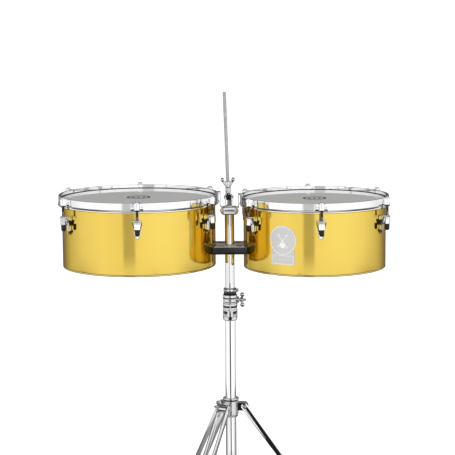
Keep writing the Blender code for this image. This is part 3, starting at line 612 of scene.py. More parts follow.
for side, drum in DRUMS.items():
    r, h = drum["r"], drum["top"] / MM
    at = Matrix.Translation(drum["centre"])
    piece(side + "_shell_skin", shell_mesh(r, h), BRASS, "carrier", at, (side + "_shell",))
    seam = wrapped_box(r - 1.25, 3.2 / r, 7.0, h - 8.0, -0.35, 0.02, 6)
    piece(side + "_shell_seam", seam, BRASS, "carrier", at @ Matrix.Rotation(PI / 2 + 0.22, 4, "Z"), (), 0.15)

    film = turned(fillet([
        (0.0, h), (r - 6.0, h, 1.0), (r - 1.4, h, 1.4), (r + 3.0, h - 4.9, 0.6), (r + 3.0, h - 5.5, 0.2), (r + 0.6, h - 5.4, 0.3), (r - 1.8, h - 0.42, 0.8),
        (r - 6.0, h - 0.42, 1.0), (0.0, h - 0.42),
    ], 5), 224)
    piece(side + "_film", film, FILM, "carrier", at, (side + "_head",))
    flesh = turned(fillet([(r + 0.9, h - 5.7, 0.3), (r + 4.5, h - 5.7, 0.6), (r + 4.5, h - 13.6, 0.8), (r + 0.9, h - 13.6, 0.8)], 4), 160)
    piece(side + "_flesh_hoop", flesh, ALLOY, "carrier", at, (side + "_head",))

    # Dark rubber ring inside the hoop, just above the film's edge: painted shade, a dark band standing in for the
    # shadow in the gap between film and hoop.
    gap_shade_ring = turned(fillet([(r + 3.7, h - 2.4, 0.2), (r + 4.9, h - 2.4, 0.1), (r + 4.9, h + 1.3, 0.1), (r + 3.9, h + 1.0, 0.4)], 3), 160)
    piece(side + "_gap_painted_shade", gap_shade_ring, RUBBER, "carrier", at)
    mark = turned([(22.0, h + 0.02), (27.5, h + 0.02), (27.5, h + 0.12), (22.0, h + 0.12)], 96)
    bars = [prism(fillet([(x - 3.6, -7, 1.5), (x + 3.6, -7, 1.5), (x + 3.6, 7, 1.5), (x - 3.6, 7, 1.5)], 4), h + 0.02, h + 0.12) for x in (-11.5, 0, 11.5)]
    piece(side + "_head_mark", merged(mark, *bars), INK, "carrier", at)

    piece(side + "_counter_hoop", hoop_mesh(r), CHROME, "carrier", at, (side + "_hoop",))
    ear = ear_mesh(r)
    for i, a in enumerate(drum["angles"]):
        turn = at @ Matrix.Rotation(a, 4, "Z")
        rod_at = turn @ Matrix.Translation(((r + ROD_OUT) * MM, 0, 0))
        tag = f"{side}_{i + 1}"
        place(f"{tag}_hoop_ear", ear, CHROME, "carrier", turn, (side + "_hoop",))
        place(f"{tag}_tension_rod", ROD_MESH, CHROME, "carrier", rod_at, (side + "_hoop",))
        place(f"{tag}_rod_thread", THREAD_MESH, THREAD, "carrier", rod_at, (side + "_hoop",))
        place(f"{tag}_thread_cap", CAP_MESH, PLASTIC, "carrier", rod_at, (side + "_hoop",))
        place(f"{tag}_tension_nut", NUT_MESH, CHROME, f"{side}_nut_{i + 1}", rod_at @ Matrix.Rotation(0.52 * i, 4, "Z"), (f"{side}_nut_{i + 1}",))
        place(f"{tag}_lug_bracket", LUG_MESH, CHROME, "carrier", turn @ Matrix.Translation((r * MM, 0, 0)), (f"{side}_lug_{i + 1}",))
        place(f"{tag}_lug_bolt", LUG_BOLT_MESH, CHROME, "carrier", turn @ Matrix.Translation(((r + 2.0) * MM, 0, 116 * MM)), (f"{side}_lug_{i + 1}",))
        for k, z in enumerate((116, 97)):
            place(f"{tag}_inner_screw_{k + 1}", INNER_MESH, ZINC, "carrier", turn @ Matrix.Translation(((r - 1.3) * MM, 0, z * MM)) @ Matrix.Rotation(PI, 4, "Z"))


# Badge, wrapped on the right shell: a ring and crossed sticks over a plain bordered plate.
def wrapped(outline, inner, outer, r, centre_angle, cell=4.0):
    """A flat (u, z) outline in millimetres wrapped on a cylinder, as a closed sheet."""
    bm = bmesh.new()
    bm.faces.new([bm.verts.new((u * MM, 0, z * MM)) for u, z in outline])
    low = min(u for u, _ in outline)
    high = max(u for u, _ in outline)
    k = low + cell
    while k < high:
        bmesh.ops.bisect_plane(bm, geom=bm.verts[:] + bm.edges[:] + bm.faces[:], dist=1e-8, plane_co=(k * MM + 1.7e-5, 0, 0), plane_no=(1, 0, 0))
        k += cell
    extruded = bmesh.ops.extrude_face_region(bm, geom=bm.faces[:])
    for v in extruded["geom"]:
        if isinstance(v, bmesh.types.BMVert):
            v.co.y = 1.0
    for v in bm.verts:
        radius = (r + (outer if v.co.y > 0.5 else inner)) * MM
        a = centre_angle + v.co.x / (r * MM)
        v.co = (radius * math.cos(a), radius * math.sin(a), v.co.z)
    bmesh.ops.recalc_face_normals(bm, faces=bm.faces)
    return bm


def circle(cx, cz, radius, n=64, start=0.0, sweep=2 * PI):
    return [(cx + radius * math.cos(start + sweep * k / n), cz + radius * math.sin(start + sweep * k / n)) for k in range(n)]


def ring_outline(cx, cz, outer, inner, n=64):
    """A nearly closed annulus outline: two arcs joined across a hair-wide gap."""
    e = 0.004
    out = [(cx + outer * math.cos(e + (2 * PI - 2 * e) * k / n), cz + outer * math.sin(e + (2 * PI - 2 * e) * k / n)) for k in range(n + 1)]
    back = [(cx + inner * math.cos(e + (2 * PI - 2 * e) * k / n), cz + inner * math.sin(e + (2 * PI - 2 * e) * k / n)) for k in range(n, -1, -1)]
    return out + back


drum = DRUMS["right"]
BADGE_A = math.radians(-118.7)
r = drum["r"]
at = Matrix.Translation(drum["centre"])
zc = 80.7
disc = wrapped(circle(0, zc, 32.3, 96), 0.35, 0.62, r, BADGE_A)
plate = wrapped(fillet([(-29.0, 25.1, 1.2), (29.0, 25.1, 1.2), (29.0, 57.5, 1.2), (-29.0, 57.5, 1.2)], 4), 0.35, 0.60, r, BADGE_A)
piece("badge_base", merged(disc, plate), FOIL, "carrier", at, ("badge",), 0.0, 25)
parts = [wrapped(ring_outline(0, zc, 32.0, 30.7, 96), 0.60, 0.78, r, BADGE_A)]
for s in (1, -1):
    stick = []
    c, q = math.cos(math.radians(52)), math.sin(math.radians(52))
    for u, v in [(-19, -0.9), (13, -0.55), (15.5, -1.25), (18, -1.15), (19.2, 0), (18, 1.15), (15.5, 1.25), (13, 0.55), (-19, 0.9), (-19.8, 0)]:
        stick.append((s * (u * c - v * q), zc - 1 + u * q + v * c))
    parts.append(wrapped(stick, 0.60 if s > 0 else 0.64, 0.80 if s > 0 else 0.84, r, BADGE_A, 3.0))
parts.append(wrapped(circle(0, zc - 11.5, 6.0, 40), 0.60, 0.74, r, BADGE_A))
for a0, b0, a1, b1 in ((-26.0, 27.6, 26.0, 28.3), (-26.0, 46.3, 26.0, 47.0), (-26.0, 28.6, -25.3, 46.0), (25.3, 28.6, 26.0, 46.0)):
    parts.append(wrapped([(a0, b0), (a1, b0), (a1, b1), (a0, b1)], 0.58, 0.72 + 0.01 * (a0 > 0), r, BADGE_A))
piece("badge_relief", merged(*parts), FOIL_LIGHT, "carrier", at, ("badge",), 0.0, 25)


# ----------------------------------------------------------------------------
# Carrier fittings
# ----------------------------------------------------------------------------
low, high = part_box("spacer_block")
block_z = (low[2] / MM, high[2] / MM)
outline = []
d = 53.6
for drum, facing in ((DRUMS["left"], 1), (DRUMS["right"], -1)):
    cx, rr = (drum["centre"].x - POST.x) / MM, drum["r"] + 1.0
    for k in range(25):
        y = (d - 2 * d * k / 24) * facing
        outline.append((cx + facing * math.sqrt(rr * rr - y * y), y))
block = prism(outline, *block_z)
block = boolean(block, turned([(0, block_z[0] - 10), (11.6, block_z[0] - 10), (11.6, block_z[1] + 10), (0, block_z[1] + 10)], 48))
for x in (-20.5, 20.5):
    for y in (-26, 24):
        slot = prism(fillet([(x - 7, y - 4.2, 2), (x + 7, y - 4.2, 2), (x + 7, y + 4.2, 2), (x - 7, y + 4.2, 2)], 4), block_z[1] - 9, block_z[1] + 5)
        block = boolean(block, slot)
piece("spacer_block_body", block, COAT, "carrier", AT_POST, ("spacer_block",), 0.7)

low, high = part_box("bridge")
bz = (low[2] / MM, high[2] / MM)
bridge = prism(fillet([(-16.6, -17.4, 3.5), (16.6, -17.4, 3.5), (16.6, 17.4, 3.5), (-16.6, 17.4, 3.5)], 6), bz[0], bz[1])
bridge = boolean(bridge, turned([(0, bz[0] - 5), (11.5, bz[0] - 5), (11.5, bz[1] - 3.2), (0, bz[1] - 3.2)], 48))
for y in (-1, 1):
    bridge = boolean(bridge, moved(prism(fillet([(-11.4, -1.3, 1.0), (11.4, -1.3, 1.0), (11.4, 1.3, 1.0), (-11.4, 1.3, 1.0)], 4), -2.6, 2.6),
                                   Matrix.Translation((0, y * 17.4 * MM, (bz[0] + 8.8) * MM)) @ Matrix.Rotation(PI / 2, 4, "X")))
piece("bridge_casting", bridge, CAST_CHROME, "carrier", AT_POST, ("bridge",), 0.8)
screws = []
for y in (-1, 1):
    for x in (-14, 14):
        head = lay(pan_head(1.9, 1.0, True, 20), "Y")
        if y < 0:
            head = moved(head, Matrix.Rotation(PI, 4, "Z"))
        screws.append(moved(head, Matrix.Translation((x * MM, y * 16.6 * MM, (bz[0] + 4.6) * MM))))
piece("bridge_screws", merged(*screws), ZINC, "carrier", AT_POST)


def bent_strip(path, thick, half, radius=2.0):
    """A flat strip bent along an (x, z) path, as a closed outline raised along Y."""
    left, right = [], []
    for i, p in enumerate(path):
        p = Vector(p)
        before = (p - Vector(path[i - 1])).normalized() if i > 0 else None
        after = (Vector(path[i + 1]) - p).normalized() if i < len(path) - 1 else None
        t = ((before or after) + (after or before)).normalized()
        n = Vector((-t.y, t.x))
        ref = before or after
        k = thick / 2 / max(0.5, n.dot(Vector((-ref.y, ref.x))))
        left.append((p.x + n.x * k, p.y + n.y * k, radius))
        right.append((p.x - n.x * k, p.y - n.y * k, radius))
    outline = left + list(reversed(right))
    outline = [(a, b, 0.3 if i in (0, len(left) - 1, len(left), len(outline) - 1) else c) for i, (a, b, c) in enumerate(outline)]
    return side_prism(fillet(outline, 6), -half, half)


for side, s in (("left", -1), ("right", 1)):
    dz = DRUMS[side]["centre"].z / MM - 770.0
    base = 770.0
    path = [(18.2, base + 118.2), (18.2, base + 132.2), (21.1, base + 138.5 + dz), (21.1, base + 168.1 + dz), (29.9, base + 168.1 + dz), (29.9, base + 160.4 + dz)]
    hook = bent_strip(path, 2.4, 10.8)
    if s < 0:
        hook = moved(hook, Matrix.Diagonal((-1, 1, 1, 1)))
        bmesh.ops.reverse_faces(hook, faces=hook.faces)
    # two long windows lighten the riser, which leaves three bars
    for y in (-4.6, 4.6):
        cutter = prism(fillet([(17 * s, y - 2.4, 0.01), (24 * s, y - 2.4, 0.01), (24 * s, y + 2.4, 0.01), (17 * s, y + 2.4, 0.01)], 2), base + 141 + dz, base + 161 + dz)
        bmesh.ops.recalc_face_normals(cutter, faces=cutter.faces)
        hook = boolean(hook, cutter)
    piece(side + "_hanger_hook", hook, PRESSED, "carrier", AT_POST, (side + "_hanger",), 0.45)
    head = moved(lay(pan_head(3.8, 2.0, True, 28), "X"), Matrix.Rotation(PI if s < 0 else 0, 4, "Z"))
    head2 = head.copy()
    bolts = merged(moved(head, Matrix.Translation((s * 19.3 * MM, -5.4 * MM, (base + 124.5) * MM))),
                   moved(head2, Matrix.Translation((s * 19.3 * MM, 5.4 * MM, (base + 124.5) * MM))))
    piece(side + "_hanger_bolts", bolts, ZINC, "carrier", AT_POST, (side + "_hanger",))

# Fork for the cowbell rod
pz = PIVOT.z / MM
cx = (PIVOT.x - POST.x) / MM
z0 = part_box("yoke")[0][2] / MM
cheek = [(-9.0, z0, 0.5), (9.0, z0, 0.5), (9.0, z0 + 4, 1.5)] + [(8.0 * math.cos(PI * k / 20), pz + 8.0 * math.sin(PI * k / 20)) for k in range(21)] + [(-9.0, z0 + 4, 1.5)]
cheek = fillet(cheek, 4)
for k, x in enumerate((-9.0, 6.4)):
    body = front_prism(cheek, cx + x, cx + x + 2.6)
    piece(f"yoke_cheek_{k + 1}", body, PRESSED, "carrier", AT_POST, ("yoke",), 0.5)
base_plate = prism(fillet([(cx - 8.9, -8.9, 1.5), (cx + 8.9, -8.9, 1.5), (cx + 8.9, 8.9, 1.5), (cx - 8.9, 8.9, 1.5)], 4), z0, z0 + 2.6)
piece("yoke_base", base_plate, PRESSED, "carrier", AT_POST, ("yoke",), 0.4)
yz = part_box("yoke_bolt")
top = yz[1][2] / MM
bolt = hexagonal(9.6, z0 + 2.9, top, 0.0, 72, True, PI / 6)
shank = threaded(2.6, 3.0, yz[0][2] / MM, z0 + 3.0, 1.0, 20)
piece("yoke_hex_bolt", merged(bolt, shank), ZINC, "carrier", AT_POST, ("yoke_bolt",))
pin_body = turned([(0, -11.4), (2.8, -11.4), (3.8, -10.6), (4.0, -9.6), (4.0, -9.35), (2.5, -9.35), (2.5, 9.35), (4.0, 9.35), (4.0, 9.6), (3.8, 10.6), (2.8, 11.4), (0, 11.4)], 40)
piece("pivot_pin_body", lay(pin_body, "X"), ZINC, "carrier", Matrix.Translation(PIVOT), ("pivot_pin",))
bush = turned(fillet([(2.9, -5.85, 0.2), (7.0, -5.85, 0.6), (7.0, -1.2, 0.3), (6.5, -0.9, 0.3), (6.5, 0.9, 0.3), (7.0, 1.2, 0.3), (7.0, 5.85, 0.6), (2.9, 5.85, 0.2)], 3), 56)
piece("pivot_bush_body", lay(bush, "X"), PLASTIC, "rod_clamp", Matrix.Translation(PIVOT), ("pivot_bush",))


def knurl(a, z, r):
    if r < 6.2 or not 11.2 < z < 21.4:
        return r
    u = (a * 18 / PI + z * 0.9) % 1.0
    v = (a * 18 / PI - z * 0.9) % 1.0
    return r - 0.34 * max(abs(2 * u - 1), abs(2 * v - 1)) ** 3


levels = [11.3 + 0.28 * k for k in range(37)]
holder = turned([(0, 7.6), (4.4, 7.6), (4.6, 8.8), (5.9, 9.7), (6.35, 10.3), (6.4, 11.0)] + [(6.4, z) for z in levels] +
                [(6.4, 21.9), (6.1, 22.5), (5.1, 23.0), (4.3, 23.0), (4.3, 10.2), (0, 10.2)], 120, knurl)
piece("rod_holder_body", holder, PRESSED, "rod_clamp", ALONG_ROD, ("rod_holder",), 0.0, 50)
collet = boolean(threaded(4.75, 5.15, 22.8, 32.2, 1.2, 32), turned([(0, 20), (4.3, 20), (4.3, 40), (0, 40)], 32))
piece("rod_holder_thread", collet, THREAD, "rod_clamp", ALONG_ROD, ("rod_holder",), 0.0, 60)

low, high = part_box("cowbell_rod")
length = (Vector((high[0], 0, high[2])) - ROD_FOOT).dot(ROD_AXIS) / MM - 0.05
rod_body = turned([(0, 10.3), (3.7, 10.3), (4.0, 10.7), (4.0, length - 1.6), (3.75, length - 0.7), (3.0, length - 0.15), (2.0, length), (0, length)], 48)
piece("cowbell_rod_body", rod_body, ROD_STEEL, "rod", ALONG_ROD, ("cowbell_rod",))


def lobe(path, widths, thick, seg=20):
    """A tapering rounded ear swept along an (x, z) path."""
    rings = []
    for i, p in enumerate(path):
        p = Vector(p)
        a = Vector(path[max(i - 1, 0)])
        b = Vector(path[min(i + 1, len(path) - 1)])
        t = (b - a).normalized()
        n = Vector((-t.y, t.x))
        w, h = widths[i], thick[i]
        ring = []
        for k in range(seg):
            u = 2 * PI * k / seg
            cu, su = math.cos(u), math.sin(u)
            cu = math.copysign(abs(cu) ** 0.7, cu)
            su = math.copysign(abs(su) ** 0.7, su)
            ring.append(((p.x + n.x * w * cu) * MM, h * su * MM, (p.y + n.y * w * cu) * MM))
        rings.append(ring)
    return grid(rings, cap=True)


def curve_through(points, steps=5):
    """Catmull-Rom points through the given ones, of any number of values each."""
    out = []
    n = len(points)
    for i in range(n - 1):
        p0, p1, p2, p3 = points[max(i - 1, 0)], points[i], points[i + 1], points[min(i + 2, n - 1)]
        for k in range(steps):
            t = k / steps
            out.append(tuple(0.5 * ((2 * b) + (-a + c) * t + (2 * a - 5 * b + 4 * c - e) * t * t + (-a + 3 * b - 3 * c + e) * t ** 3)
                             for a, b, c, e in zip(p0, p1, p2, p3)))
    out.append(points[-1])
    return out


def ear_sweep(keys):
    """Ear from keys of (x, z, half width, half thickness)."""
    pts = curve_through(keys)
    return lobe([(p[0], p[1]) for p in pts], [max(0.15, p[2]) for p in pts], [max(0.15, p[3]) for p in pts])


hub = turned(fillet([(4.45, 23.7, 0.3), (7.2, 23.7, 0.6), (7.2, 29.5, 1.2), (6.0, 36.4, 1.0), (5.7, 37.4, 0.6), (4.45, 37.4, 0.3)], 4), 56)
hub = boolean(hub, turned([(0, 20), (5.5, 20), (5.5, 32.6), (0, 32.6)], 40))
wing_keys = [(4.6, 29.2, 3.8, 2.0), (7.6, 32.0, 3.1, 2.0), (9.8, 35.2, 3.0, 2.0), (11.6, 38.6, 3.9, 2.7), (12.6, 41.4, 4.3, 3.0), (13.3, 43.9, 3.2, 2.3), (13.7, 45.4, 1.5, 1.2), (13.85, 46.1, 0.3, 0.3)]
wings = []
for s in (1, -1):
    ear = ear_sweep(wing_keys)
    if s < 0:
        ear = moved(ear, Matrix.Rotation(PI, 4, "Z"))
    wings.append(ear)
piece("cowbell_wing_nut_body", merged(hub, *wings), PRESSED, "wing_nut", ALONG_ROD, ("cowbell_wing_nut",))

# ----------------------------------------------------------------------------
# Post, height collar, memory lock
# ----------------------------------------------------------------------------
low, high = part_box("post")
pl, ph = low[2] / MM, high[2] / MM
piece("post_tube", turned(fillet([(11.1, pl, 0.4), (11.1, ph, 0.4), (9.5, ph, 0.3), (9.5, pl, 0.3)], 3), 96), POST_CHROME_SHADED, "post", AT_POST, ("post",))

ring = turned(fillet([(11.5, 703.2, 0.2), (14.9, 703.2, 0.7), (15.4, 706.0, 0.8), (15.3, 711.4, 1.4), (13.6, 713.2, 1.2), (11.5, 713.2, 0.3)], 4), 72)
piece("memory_lock_ring", ring, CAST_CHROME, "post", AT_POST, ("memory_lock",))
bumps = []
for x in (-9.8, 9.8):
    knob = turned([(0, -2.5), (4.0, -2.5), (4.4, 0.6), (4.5, 2.6), (4.1, 4.4), (3.1, 5.6), (1.7, 6.2), (0, 6.4)], 36)
    bumps.append(moved(knob, Matrix.Translation((x * MM, -10.0 * MM, 708.3 * MM)) @ Matrix.Rotation(PI / 2 + 0.12, 4, "X")))
piece("memory_lock_bumps", merged(*bumps), CAST_CHROME, "post", AT_POST, ("memory_lock",))
ear = side_prism(fillet([(13.4, 704.3, 0.5), (18.4, 704.3, 2), (20.3, 706.2, 2), (20.3, 710.3, 2), (18.4, 712.1, 2), (13.4, 712.1, 0.5)], 5), -8.2, -2.2)
piece("memory_lock_ear", ear, CAST_CHROME, "post", AT_POST, ("memory_lock",), 0.6)
key = moved(lay(merged(turned([(0, -13.4), (2.7, -13.4), (2.9, -12.8), (2.9, -8.0), (0, -8.0)], 28),), "Y"), Matrix.Translation((16.8 * MM, 0, 708.2 * MM)))
piece("memory_lock_key_bolt", key, ZINC, "post", AT_POST, ("memory_lock",))

bush = turned(fillet([(11.5, 680.2, 0.2), (12.4, 680.2, 0.2), (12.4, 697.95, 0.2), (14.6, 697.95, 0.3), (15.0, 698.6, 0.4), (15.0, 701.9, 0.6), (14.4, 702.6, 0.4), (11.5, 702.6, 0.3)], 3), 80)
piece("collar_bush_body", bush, PLASTIC, "stand", AT_POST, ("collar_bush",))



def collar_shape(a, z, r):
    """Hollows the lower front beside its middle rib."""
    if z > 659 or r < 14.0:
        return r
    off = abs((a + PI / 2 + PI) % (2 * PI) - PI)
    dip = max(0.0, math.cos((off - 0.72) * PI / 0.96)) if 0.24 < off < 1.20 else 0.0
    depth = 1.7 * math.sin(PI * min(1.0, max(0.0, (z - 637.5) / 21.5))) ** 0.8
    return r - dip * depth


wall = [(min(17.35, 16.5 + 0.09 * k), 638.2 + k) for k in range(1, 23)]
casting = turned([(13.05, 636.8), (15.2, 636.8), (15.9, 637.2), (16.5, 638.2)] + wall +
                 [(17.3, 661.6), (16.9, 662.8), (16.5, 663.4), (16.5, 668.6), (16.9, 669.4), (17.3, 670.2), (17.3, 676.2), (16.8, 677.0), (16.3, 677.6), (16.3, 687.6),
                  (16.8, 688.2), (17.2, 689.0), (17.2, 696.4), (16.7, 697.2), (16.2, 697.4), (13.05, 697.4)], 120, collar_shape)
casting = boolean(casting, grid([[(-0.8 * MM, y, z), (0.8 * MM, y, z), (0.8 * MM, y, z2), (-0.8 * MM, y, z2)] for y, z, z2 in ((-0.03, 0.656, 0.72), (-0.005, 0.656, 0.72))], cap=True))
hz = HEIGHT_Z / MM
boss = moved(lay(turned(fillet([(3.8, 14.4, 0.1), (7.9, 14.4, 0.3), (7.9, 20.2, 0.8), (6.9, 21.5, 0.6), (3.8, 21.5, 0.3)], 4), 48), "X"), Matrix.Translation((0, 0, HEIGHT_Z)))
casting = boolean(casting, boss, "UNION")
piece("height_collar_casting", casting, CAST_CHROME, "stand", AT_POST, ("height_collar",), 0.0, 34)
front = []
for x, w in ((-7.7, 5.2), (7.7, 5.2)):
    panel = wrapped_box(16.4, w / 16.4, 679.2, 686.8, -0.4, 0.55, 10)
    front.append(moved(panel, Matrix.Rotation(math.atan2(-14.5, x), 4, "Z")))
piece("height_collar_pads", merged(*front), CAST_CHROME, "stand", AT_POST, (), 0.3)


def wing_bolt_mesh(head, span, reach, name):
    """A wing bolt along +X: turned hub, two round ears up and down, and a shaft end."""
    hub_part = lay(turned(fillet([(0, head - 0.1), (5.9, head - 0.1, 0.6), (6.0, head + 3.2, 1.0), (4.6, head + 7.6, 1.2), (3.4, head + 8.3, 0.8), (0, head + 8.3)], 4), 48), "X")
    shaft = lay(threaded(2.6, 3.05, 13.6, head + 1.0, 1.0, 24), "X")
    tip = lay(turned([(0, head + 8.0), (2.7, head + 8.0), (2.9, head + 9.0), (2.7, head + 13.2), (2.0, head + 14.0), (0, head + 14.2)], 32), "X")
    bodies = [hub_part, shaft, tip]
    for s in (1, -1):
        k = span / 17.8
        keys = [(head + 3.6, 1.5 * s, 3.4, 2.2), (head + 4.0, 5.0 * k * s, 2.5, 2.0), (head + 4.4, 7.2 * k * s, 3.0, 2.2), (head + 4.8, 9.6 * k * s, 4.8 * k, 3.0),
                (head + 5.0, 12.4 * k * s, 5.5 * k, 3.3), (head + 5.0, 15.2 * k * s, 4.4 * k, 2.7), (head + 5.0, 17.2 * k * s, 2.0, 1.3), (head + 5.0, span * s, 0.3, 0.3)]
        bodies.append(ear_sweep(keys))
    return mesh_of(merged(*bodies), name, 0.0, 50)


place("height_wing_bolt_body", wing_bolt_mesh(22.6, 17.8, 37.4, "height_wing_bolt"), PRESSED, "height_bolt", Matrix.Translation((POST.x + 0.001, 0, HEIGHT_Z)), ("height_wing_bolt",))
place("leg_wing_bolt_body", wing_bolt_mesh(25.9, 15.3, 39.8, "leg_wing_bolt"), PRESSED, "leg_bolt",
      Matrix.Translation((POST.x, 0, LEG_BOLT_Z)) @ Matrix.Rotation(PI, 4, "Z"), ("leg_wing_bolt",))

# ----------------------------------------------------------------------------
# Tripod
# ----------------------------------------------------------------------------
low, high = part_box("stand_tube")
tl, th = low[2] / MM, high[2] / MM
piece("stand_tube_body", turned(fillet([(12.7, tl, 0.4), (12.7, th, 0.4), (11.5, th, 0.3), (11.5, tl, 0.3)], 3), 96), TUBE_CHROME, "stand", AT_POST, ("stand_tube",))
plug = turned([(0, tl - 3.4), (10.5, tl - 3.4), (12.3, tl - 2.6), (12.7, tl - 1.6), (12.7, tl - 0.2), (11.2, tl - 0.2), (11.2, tl + 8), (0, tl + 8)], 64)
piece("tube_end_plug", plug, PLASTIC, "stand", AT_POST)


def tongue(root, pivot, half, n=14):
    out = [(root, pivot[1] - half)]
    for k in range(n + 1):
        a = -PI / 2 + PI * k / n
        out.append((pivot[0] + half * math.cos(a), pivot[1] + half * math.sin(a)))
    out.append((root, pivot[1] + half))
    return out


leg_p = (LEG_R / MM, LEG_Z / MM)
brace_p = (BRACE_R / MM, BRACE_Z / MM)
collar = turned(fillet([(13.1, 405.2, 0.3), (15.6, 405.2, 0.8), (18.1, 410.0, 2.0), (18.2, 421.0, 0.5), (18.2, 443.6, 2.0), (19.0, 447.6, 1.5), (18.9, 450.4, 0.8), (17.6, 450.9, 0.5), (13.1, 450.9, 0.3)], 4), 96)
for i in range(3):
    t = side_prism(tongue(14.0, leg_p, 9.4), -9.5, 9.5)
    bmesh.ops.recalc_face_normals(t, faces=t.faces)
    t = boolean(t, moved(lay(turned([(0, -20), (3.7, -20), (3.7, 20), (0, 20)], 28), "Y"), Matrix.Translation((leg_p[0] * MM, 0, leg_p[1] * MM))))
    collar = boolean(collar, moved(t, Matrix.Rotation(2 * PI * i / 3, 4, "Z")), "UNION")
collar = boolean(collar, moved(lay(turned(fillet([(3.8, 15.5, 0.1), (6.5, 15.5, 0.3), (6.5, 24.2, 0.8), (5.8, 25.1, 0.5), (3.8, 25.1, 0.2)], 4), 40), "X"),
                               Matrix.Translation((0, 0, LEG_BOLT_Z)) @ Matrix.Rotation(PI, 4, "Z")), "UNION")
collar = boolean(collar, turned([(0, 395), (13.1, 395), (13.1, 460), (0, 460)], 96))
piece("leg_collar_casting", collar, CAST_CHROME, "leg_slider", AT_POST, ("leg_collar",), 0.0, 34)

base = turned(fillet([(13.1, 112.2, 0.3), (15.4, 112.2, 0.8), (16.9, 114.4, 1.0), (16.9, 143.6, 1.0), (15.4, 145.8, 0.8), (13.1, 145.8, 0.3)], 4), 80)
for i in range(3):
    t = side_prism(tongue(14.6, brace_p, 6.9), -2.3, 2.3)
    t = boolean(t, moved(lay(turned([(0, -20), (3.4, -20), (3.4, 20), (0, 20)], 28), "Y"), Matrix.Translation((brace_p[0] * MM, 0, brace_p[1] * MM))))
    base = boolean(base, moved(t, Matrix.Rotation(2 * PI * i / 3, 4, "Z")), "UNION")
base = boolean(base, turned([(0, 100), (13.1, 100), (13.1, 160), (0, 160)], 80))
piece("base_casting_body", base, CAST_CHROME, "stand", AT_POST, ("base_casting",), 0.0, 34)

down_leg = Matrix.Translation((LEG_R, 0, LEG_Z)) @ Matrix.Rotation(PI - SPREAD, 4, "Y")
leg_end = (leg_p[0] + 470.0 * math.sin(SPREAD), leg_p[1] - 470.0 * math.cos(SPREAD))


def leg_strap_mesh():
    """Two pressed straps, one on each side."""
    bodies = []
    for s in (-1, 1):
        strap = side_prism(strip(leg_p, leg_end, 7.95, 12), *( (-12.55, -10.05) if s < 0 else (10.05, 12.55) ))
        m = mesh_of(strap, "strap", 0.45)
        bm = bmesh.new()
        bm.from_mesh(m)
        bodies.append(bm)
    return mesh_of(merged(*bodies), "leg_straps", 0.0, 40)


def leg_hardware_mesh():
    """Pivot pin with its heads, and the rivets at the end block."""
    pin_part = moved(lay(turned([(0, -11.8), (3.0, -11.8), (3.0, 11.8), (0, 11.8)], 28), "Y"), Matrix.Translation((LEG_R, 0, LEG_Z)))
    heads = []
    spots = [(leg_p[0], leg_p[1], 4.6, 1.5)]
    for d in (463.0, 472.5):
        spots.append((leg_p[0] + d * math.sin(SPREAD), leg_p[1] - d * math.cos(SPREAD), 3.0, 1.1))
    for x, z, rad, hgt in spots:
        for s in (1, -1):
            head = lay(pan_head(rad, hgt, False, 28), "Y")
            if s < 0:
                head = moved(head, Matrix.Rotation(PI, 4, "Z"))
            heads.append(moved(head, Matrix.Translation((x * MM, s * 12.5 * MM, z * MM))))
    return mesh_of(merged(pin_part, *heads), "leg_hardware")


def leg_block_mesh():
    block_part = moved(prism(fillet([(-6.9, -9.9, 1.2), (6.9, -9.9, 1.2), (6.9, 9.9, 1.2), (-6.9, 9.9, 1.2)], 4), 455.5, 477.6), down_leg)
    peg = moved(turned([(0, 470), (6.0, 470), (6.0, 506), (5.2, 507.4), (0, 507.4)], 40), down_leg)
    m = mesh_of(block_part, "block", 0.6)
    bm = bmesh.new()
    bm.from_mesh(m)
    return mesh_of(merged(bm, peg), "leg_block")


def foot_mesh():
    """Rubber boot with three moulded rings, flat where it meets the floor."""
    body = turned(fillet([
        (6.6, 478.7, 0.3), (11.0, 478.7, 1.0), (14.6, 484.0, 2.0), (15.2, 487.0, 0.6), (14.5, 488.0, 0.4), (14.5, 490.0, 0.4), (15.6, 491.0, 0.6), (15.7, 494.0, 0.6), (14.9, 495.0, 0.4), (14.9, 497.0, 0.4),
        (16.0, 498.0, 0.6), (16.15, 516.0, 4.0), (14.0, 529.0, 6.0), (8.0, 538.0, 4.0), (0.0, 541.0), (0.0, 511.0), (6.6, 511.0, 0.5),
    ], 4), 64)
    moved(body, down_leg)
    cut_by = grid([[(0.2, -0.05, z), (0.5, -0.05, z), (0.5, 0.05, z), (0.2, 0.05, z)] for z in (-0.06, 0.0)], cap=True)
    body = boolean(body, cut_by)
    return mesh_of(body, "rubber_boot", 0.0, 40)


def brace_mesh():
    end = (BRACE_END[0] / MM, BRACE_END[1] / MM)
    bodies = []
    for y in (-5.25, 2.85):
        m = mesh_of(side_prism(strip(brace_p, end, 5.7, 10), y, y + 2.4), "brace_strap", 0.4)
        bm = bmesh.new()
        bm.from_mesh(m)
        bodies.append(bm)
    pin_part = moved(lay(turned([(0, -5.0), (2.6, -5.0), (2.6, 5.0), (0, 5.0)], 24), "Y"), Matrix.Translation((BRACE_R, 0, BRACE_Z)))
    heads = []
    for s in (1, -1):
        head = lay(pan_head(3.6, 1.3, False, 24), "Y")
        if s < 0:
            head = moved(head, Matrix.Rotation(PI, 4, "Z"))
        heads.append(moved(head, Matrix.Translation((BRACE_R, s * 5.2 * MM, BRACE_Z))))
    roller = moved(lay(turned(fillet([(0, -9.4), (4.2, -9.4, 0.5), (4.2, -5.4, 0.1), (3.6, -5.3, 0.1), (3.6, 5.3, 0.1), (4.2, 5.4, 0.1), (4.2, 9.4, 0.5), (0, 9.4)], 3), 32), "Y"),
                   Matrix.Translation((BRACE_END[0], 0, BRACE_END[1])))
    return mesh_of(merged(*bodies, pin_part, roller, *heads), "brace_bars", 0.0, 40)


